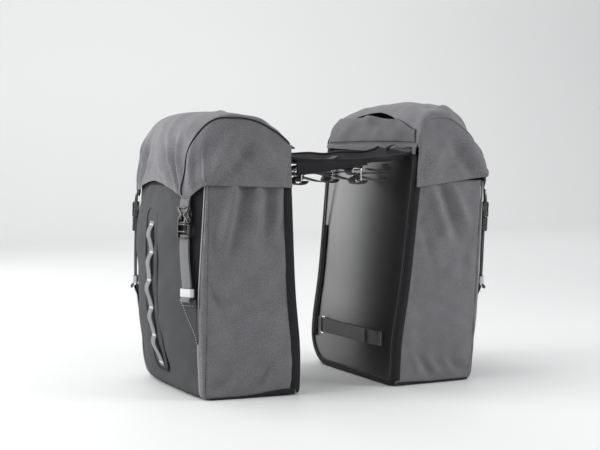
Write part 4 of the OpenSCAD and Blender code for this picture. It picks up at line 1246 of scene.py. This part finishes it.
a, b = np.meshgrid(np.linspace(0, 1, 90), np.linspace(0, 1, 70))
bridge = cloth("bridge_cloth", bridge_point(a, b), 0.0016)
dress(bridge, black_cloth, "bridge", "bridge_panel", slot="black_fabric")
a, t = np.meshgrid(np.linspace(0.07, 0.93, 80), np.linspace(0, 1, 12))
depth = np.maximum(0.006, 0.029 - 0.034 * a)
flap_points = bridge_point(a, 0.0)
flap_points[..., 2] -= t * depth
flap_points[..., 1] -= 0.003 * np.sin(np.pi * t) + 0.0015 * waves(a * 0.2, t * 0.03, 0.06, 92)
flap = cloth("bridge_near_flap", flap_points, 0.0016)
dress(flap, black_cloth, "bridge", slot="black_fabric")
edges = []
for b_edge in (0.0, 1.0):
    edges.append(sweep_along("edge", bridge_point(np.linspace(0, 1, 80), b_edge), round_outline(0.0060, 0.0040, 0.0016), (0, 1.0, 0)))
dress(join("bridge_edge_tape", edges), black_cloth, "bridge", "bridge_binding", slot="black_fabric")
strips = []
for y, a_end in ((-0.104, 0.87), (-0.020, 0.66)):
    a_line = np.linspace(0.13, a_end, 50)
    near, far = bridge_point(a_line, 0.0)[:, 1], bridge_point(a_line, 1.0)[:, 1]
    line = bridge_point(a_line, (y - near) / (far - near), 0.0014)
    strips.append(sweep_along("strip", line, round_outline(RACK_WEB, 0.0015, 0.0006), (0, 1.0, 0)))
dress(join("bridge_strips", strips), black_webbing, "bridge", "bridge_webbing", slot="black_webbing")

# ---- Rack loops: four short hook-and-loop straps under the bridge, each folded round and through a
# plated ring. They close round the tubes of the rack's deck.
loops = []
for word in ("left", "right"):
    rings = []
    low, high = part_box(f"{word}_rack_rings")
    ring_x, ring_z = (low.x + high.x) / 2, (low.z + high.z) / 2
    for y in (-0.116, -0.008):
        upper = [(0.014, 0, 0.0170), (0.000, 0, 0.0150), (-0.012, 0, 0.0120), (-0.0175, 0, 0.0060), (-0.012, 0, 0.0004),
                 (0.000, 0, -0.0004), (0.014, 0, 0.0020), (0.034, 0, 0.0022), (0.050, 0, -0.0010), (0.057, 0, -0.0065),
                 (0.050, 0, -0.0115), (0.034, 0, -0.0105), (0.016, 0, -0.0060), (0.003, 0, -0.0035), (-0.008, 0, -0.0070),
                 (-0.010, 0, -0.0125), (-0.003, 0, -0.0160), (0.009, 0, -0.0150), (0.015, 0, -0.0110)]
        bridge_end = [(0.054, 0, 0.0170), (0.060, 0, 0.0110), (0.052, 0, 0.0060), (0.036, 0, 0.0064), (0.022, 0, 0.0090)]
        for way in (upper, bridge_end):
            path = smooth_path(way, 8) + (ring_x, y, ring_z)
            loops.append(sweep_along("loop", path, round_outline(RACK_WEB, 0.0021, 0.0008), (0, 1.0, 0)))
        ring = dense(np.array([(-0.0145, -0.0105), (0.0145, -0.0105), (0.0145, 0.0105), (-0.0145, 0.0105)]), 0.0015)
        ring = np.stack([np.full(len(ring), ring_x), y + ring[:, 0], ring_z + ring[:, 1]], -1)
        rings.append(sweep_along("ring", ring, round_outline(0.0024, 0.0024, 0.0010), (1.0, 0, 0), closed=True))
    dress(join(f"{word}_loop_rings", rings), chrome, f"{word}_rings", f"{word}_rack_rings", slot="ring_metal")
dress(join("rack_loop_straps", loops), black_webbing, "bridge", "rack_loops", slot="black_webbing")
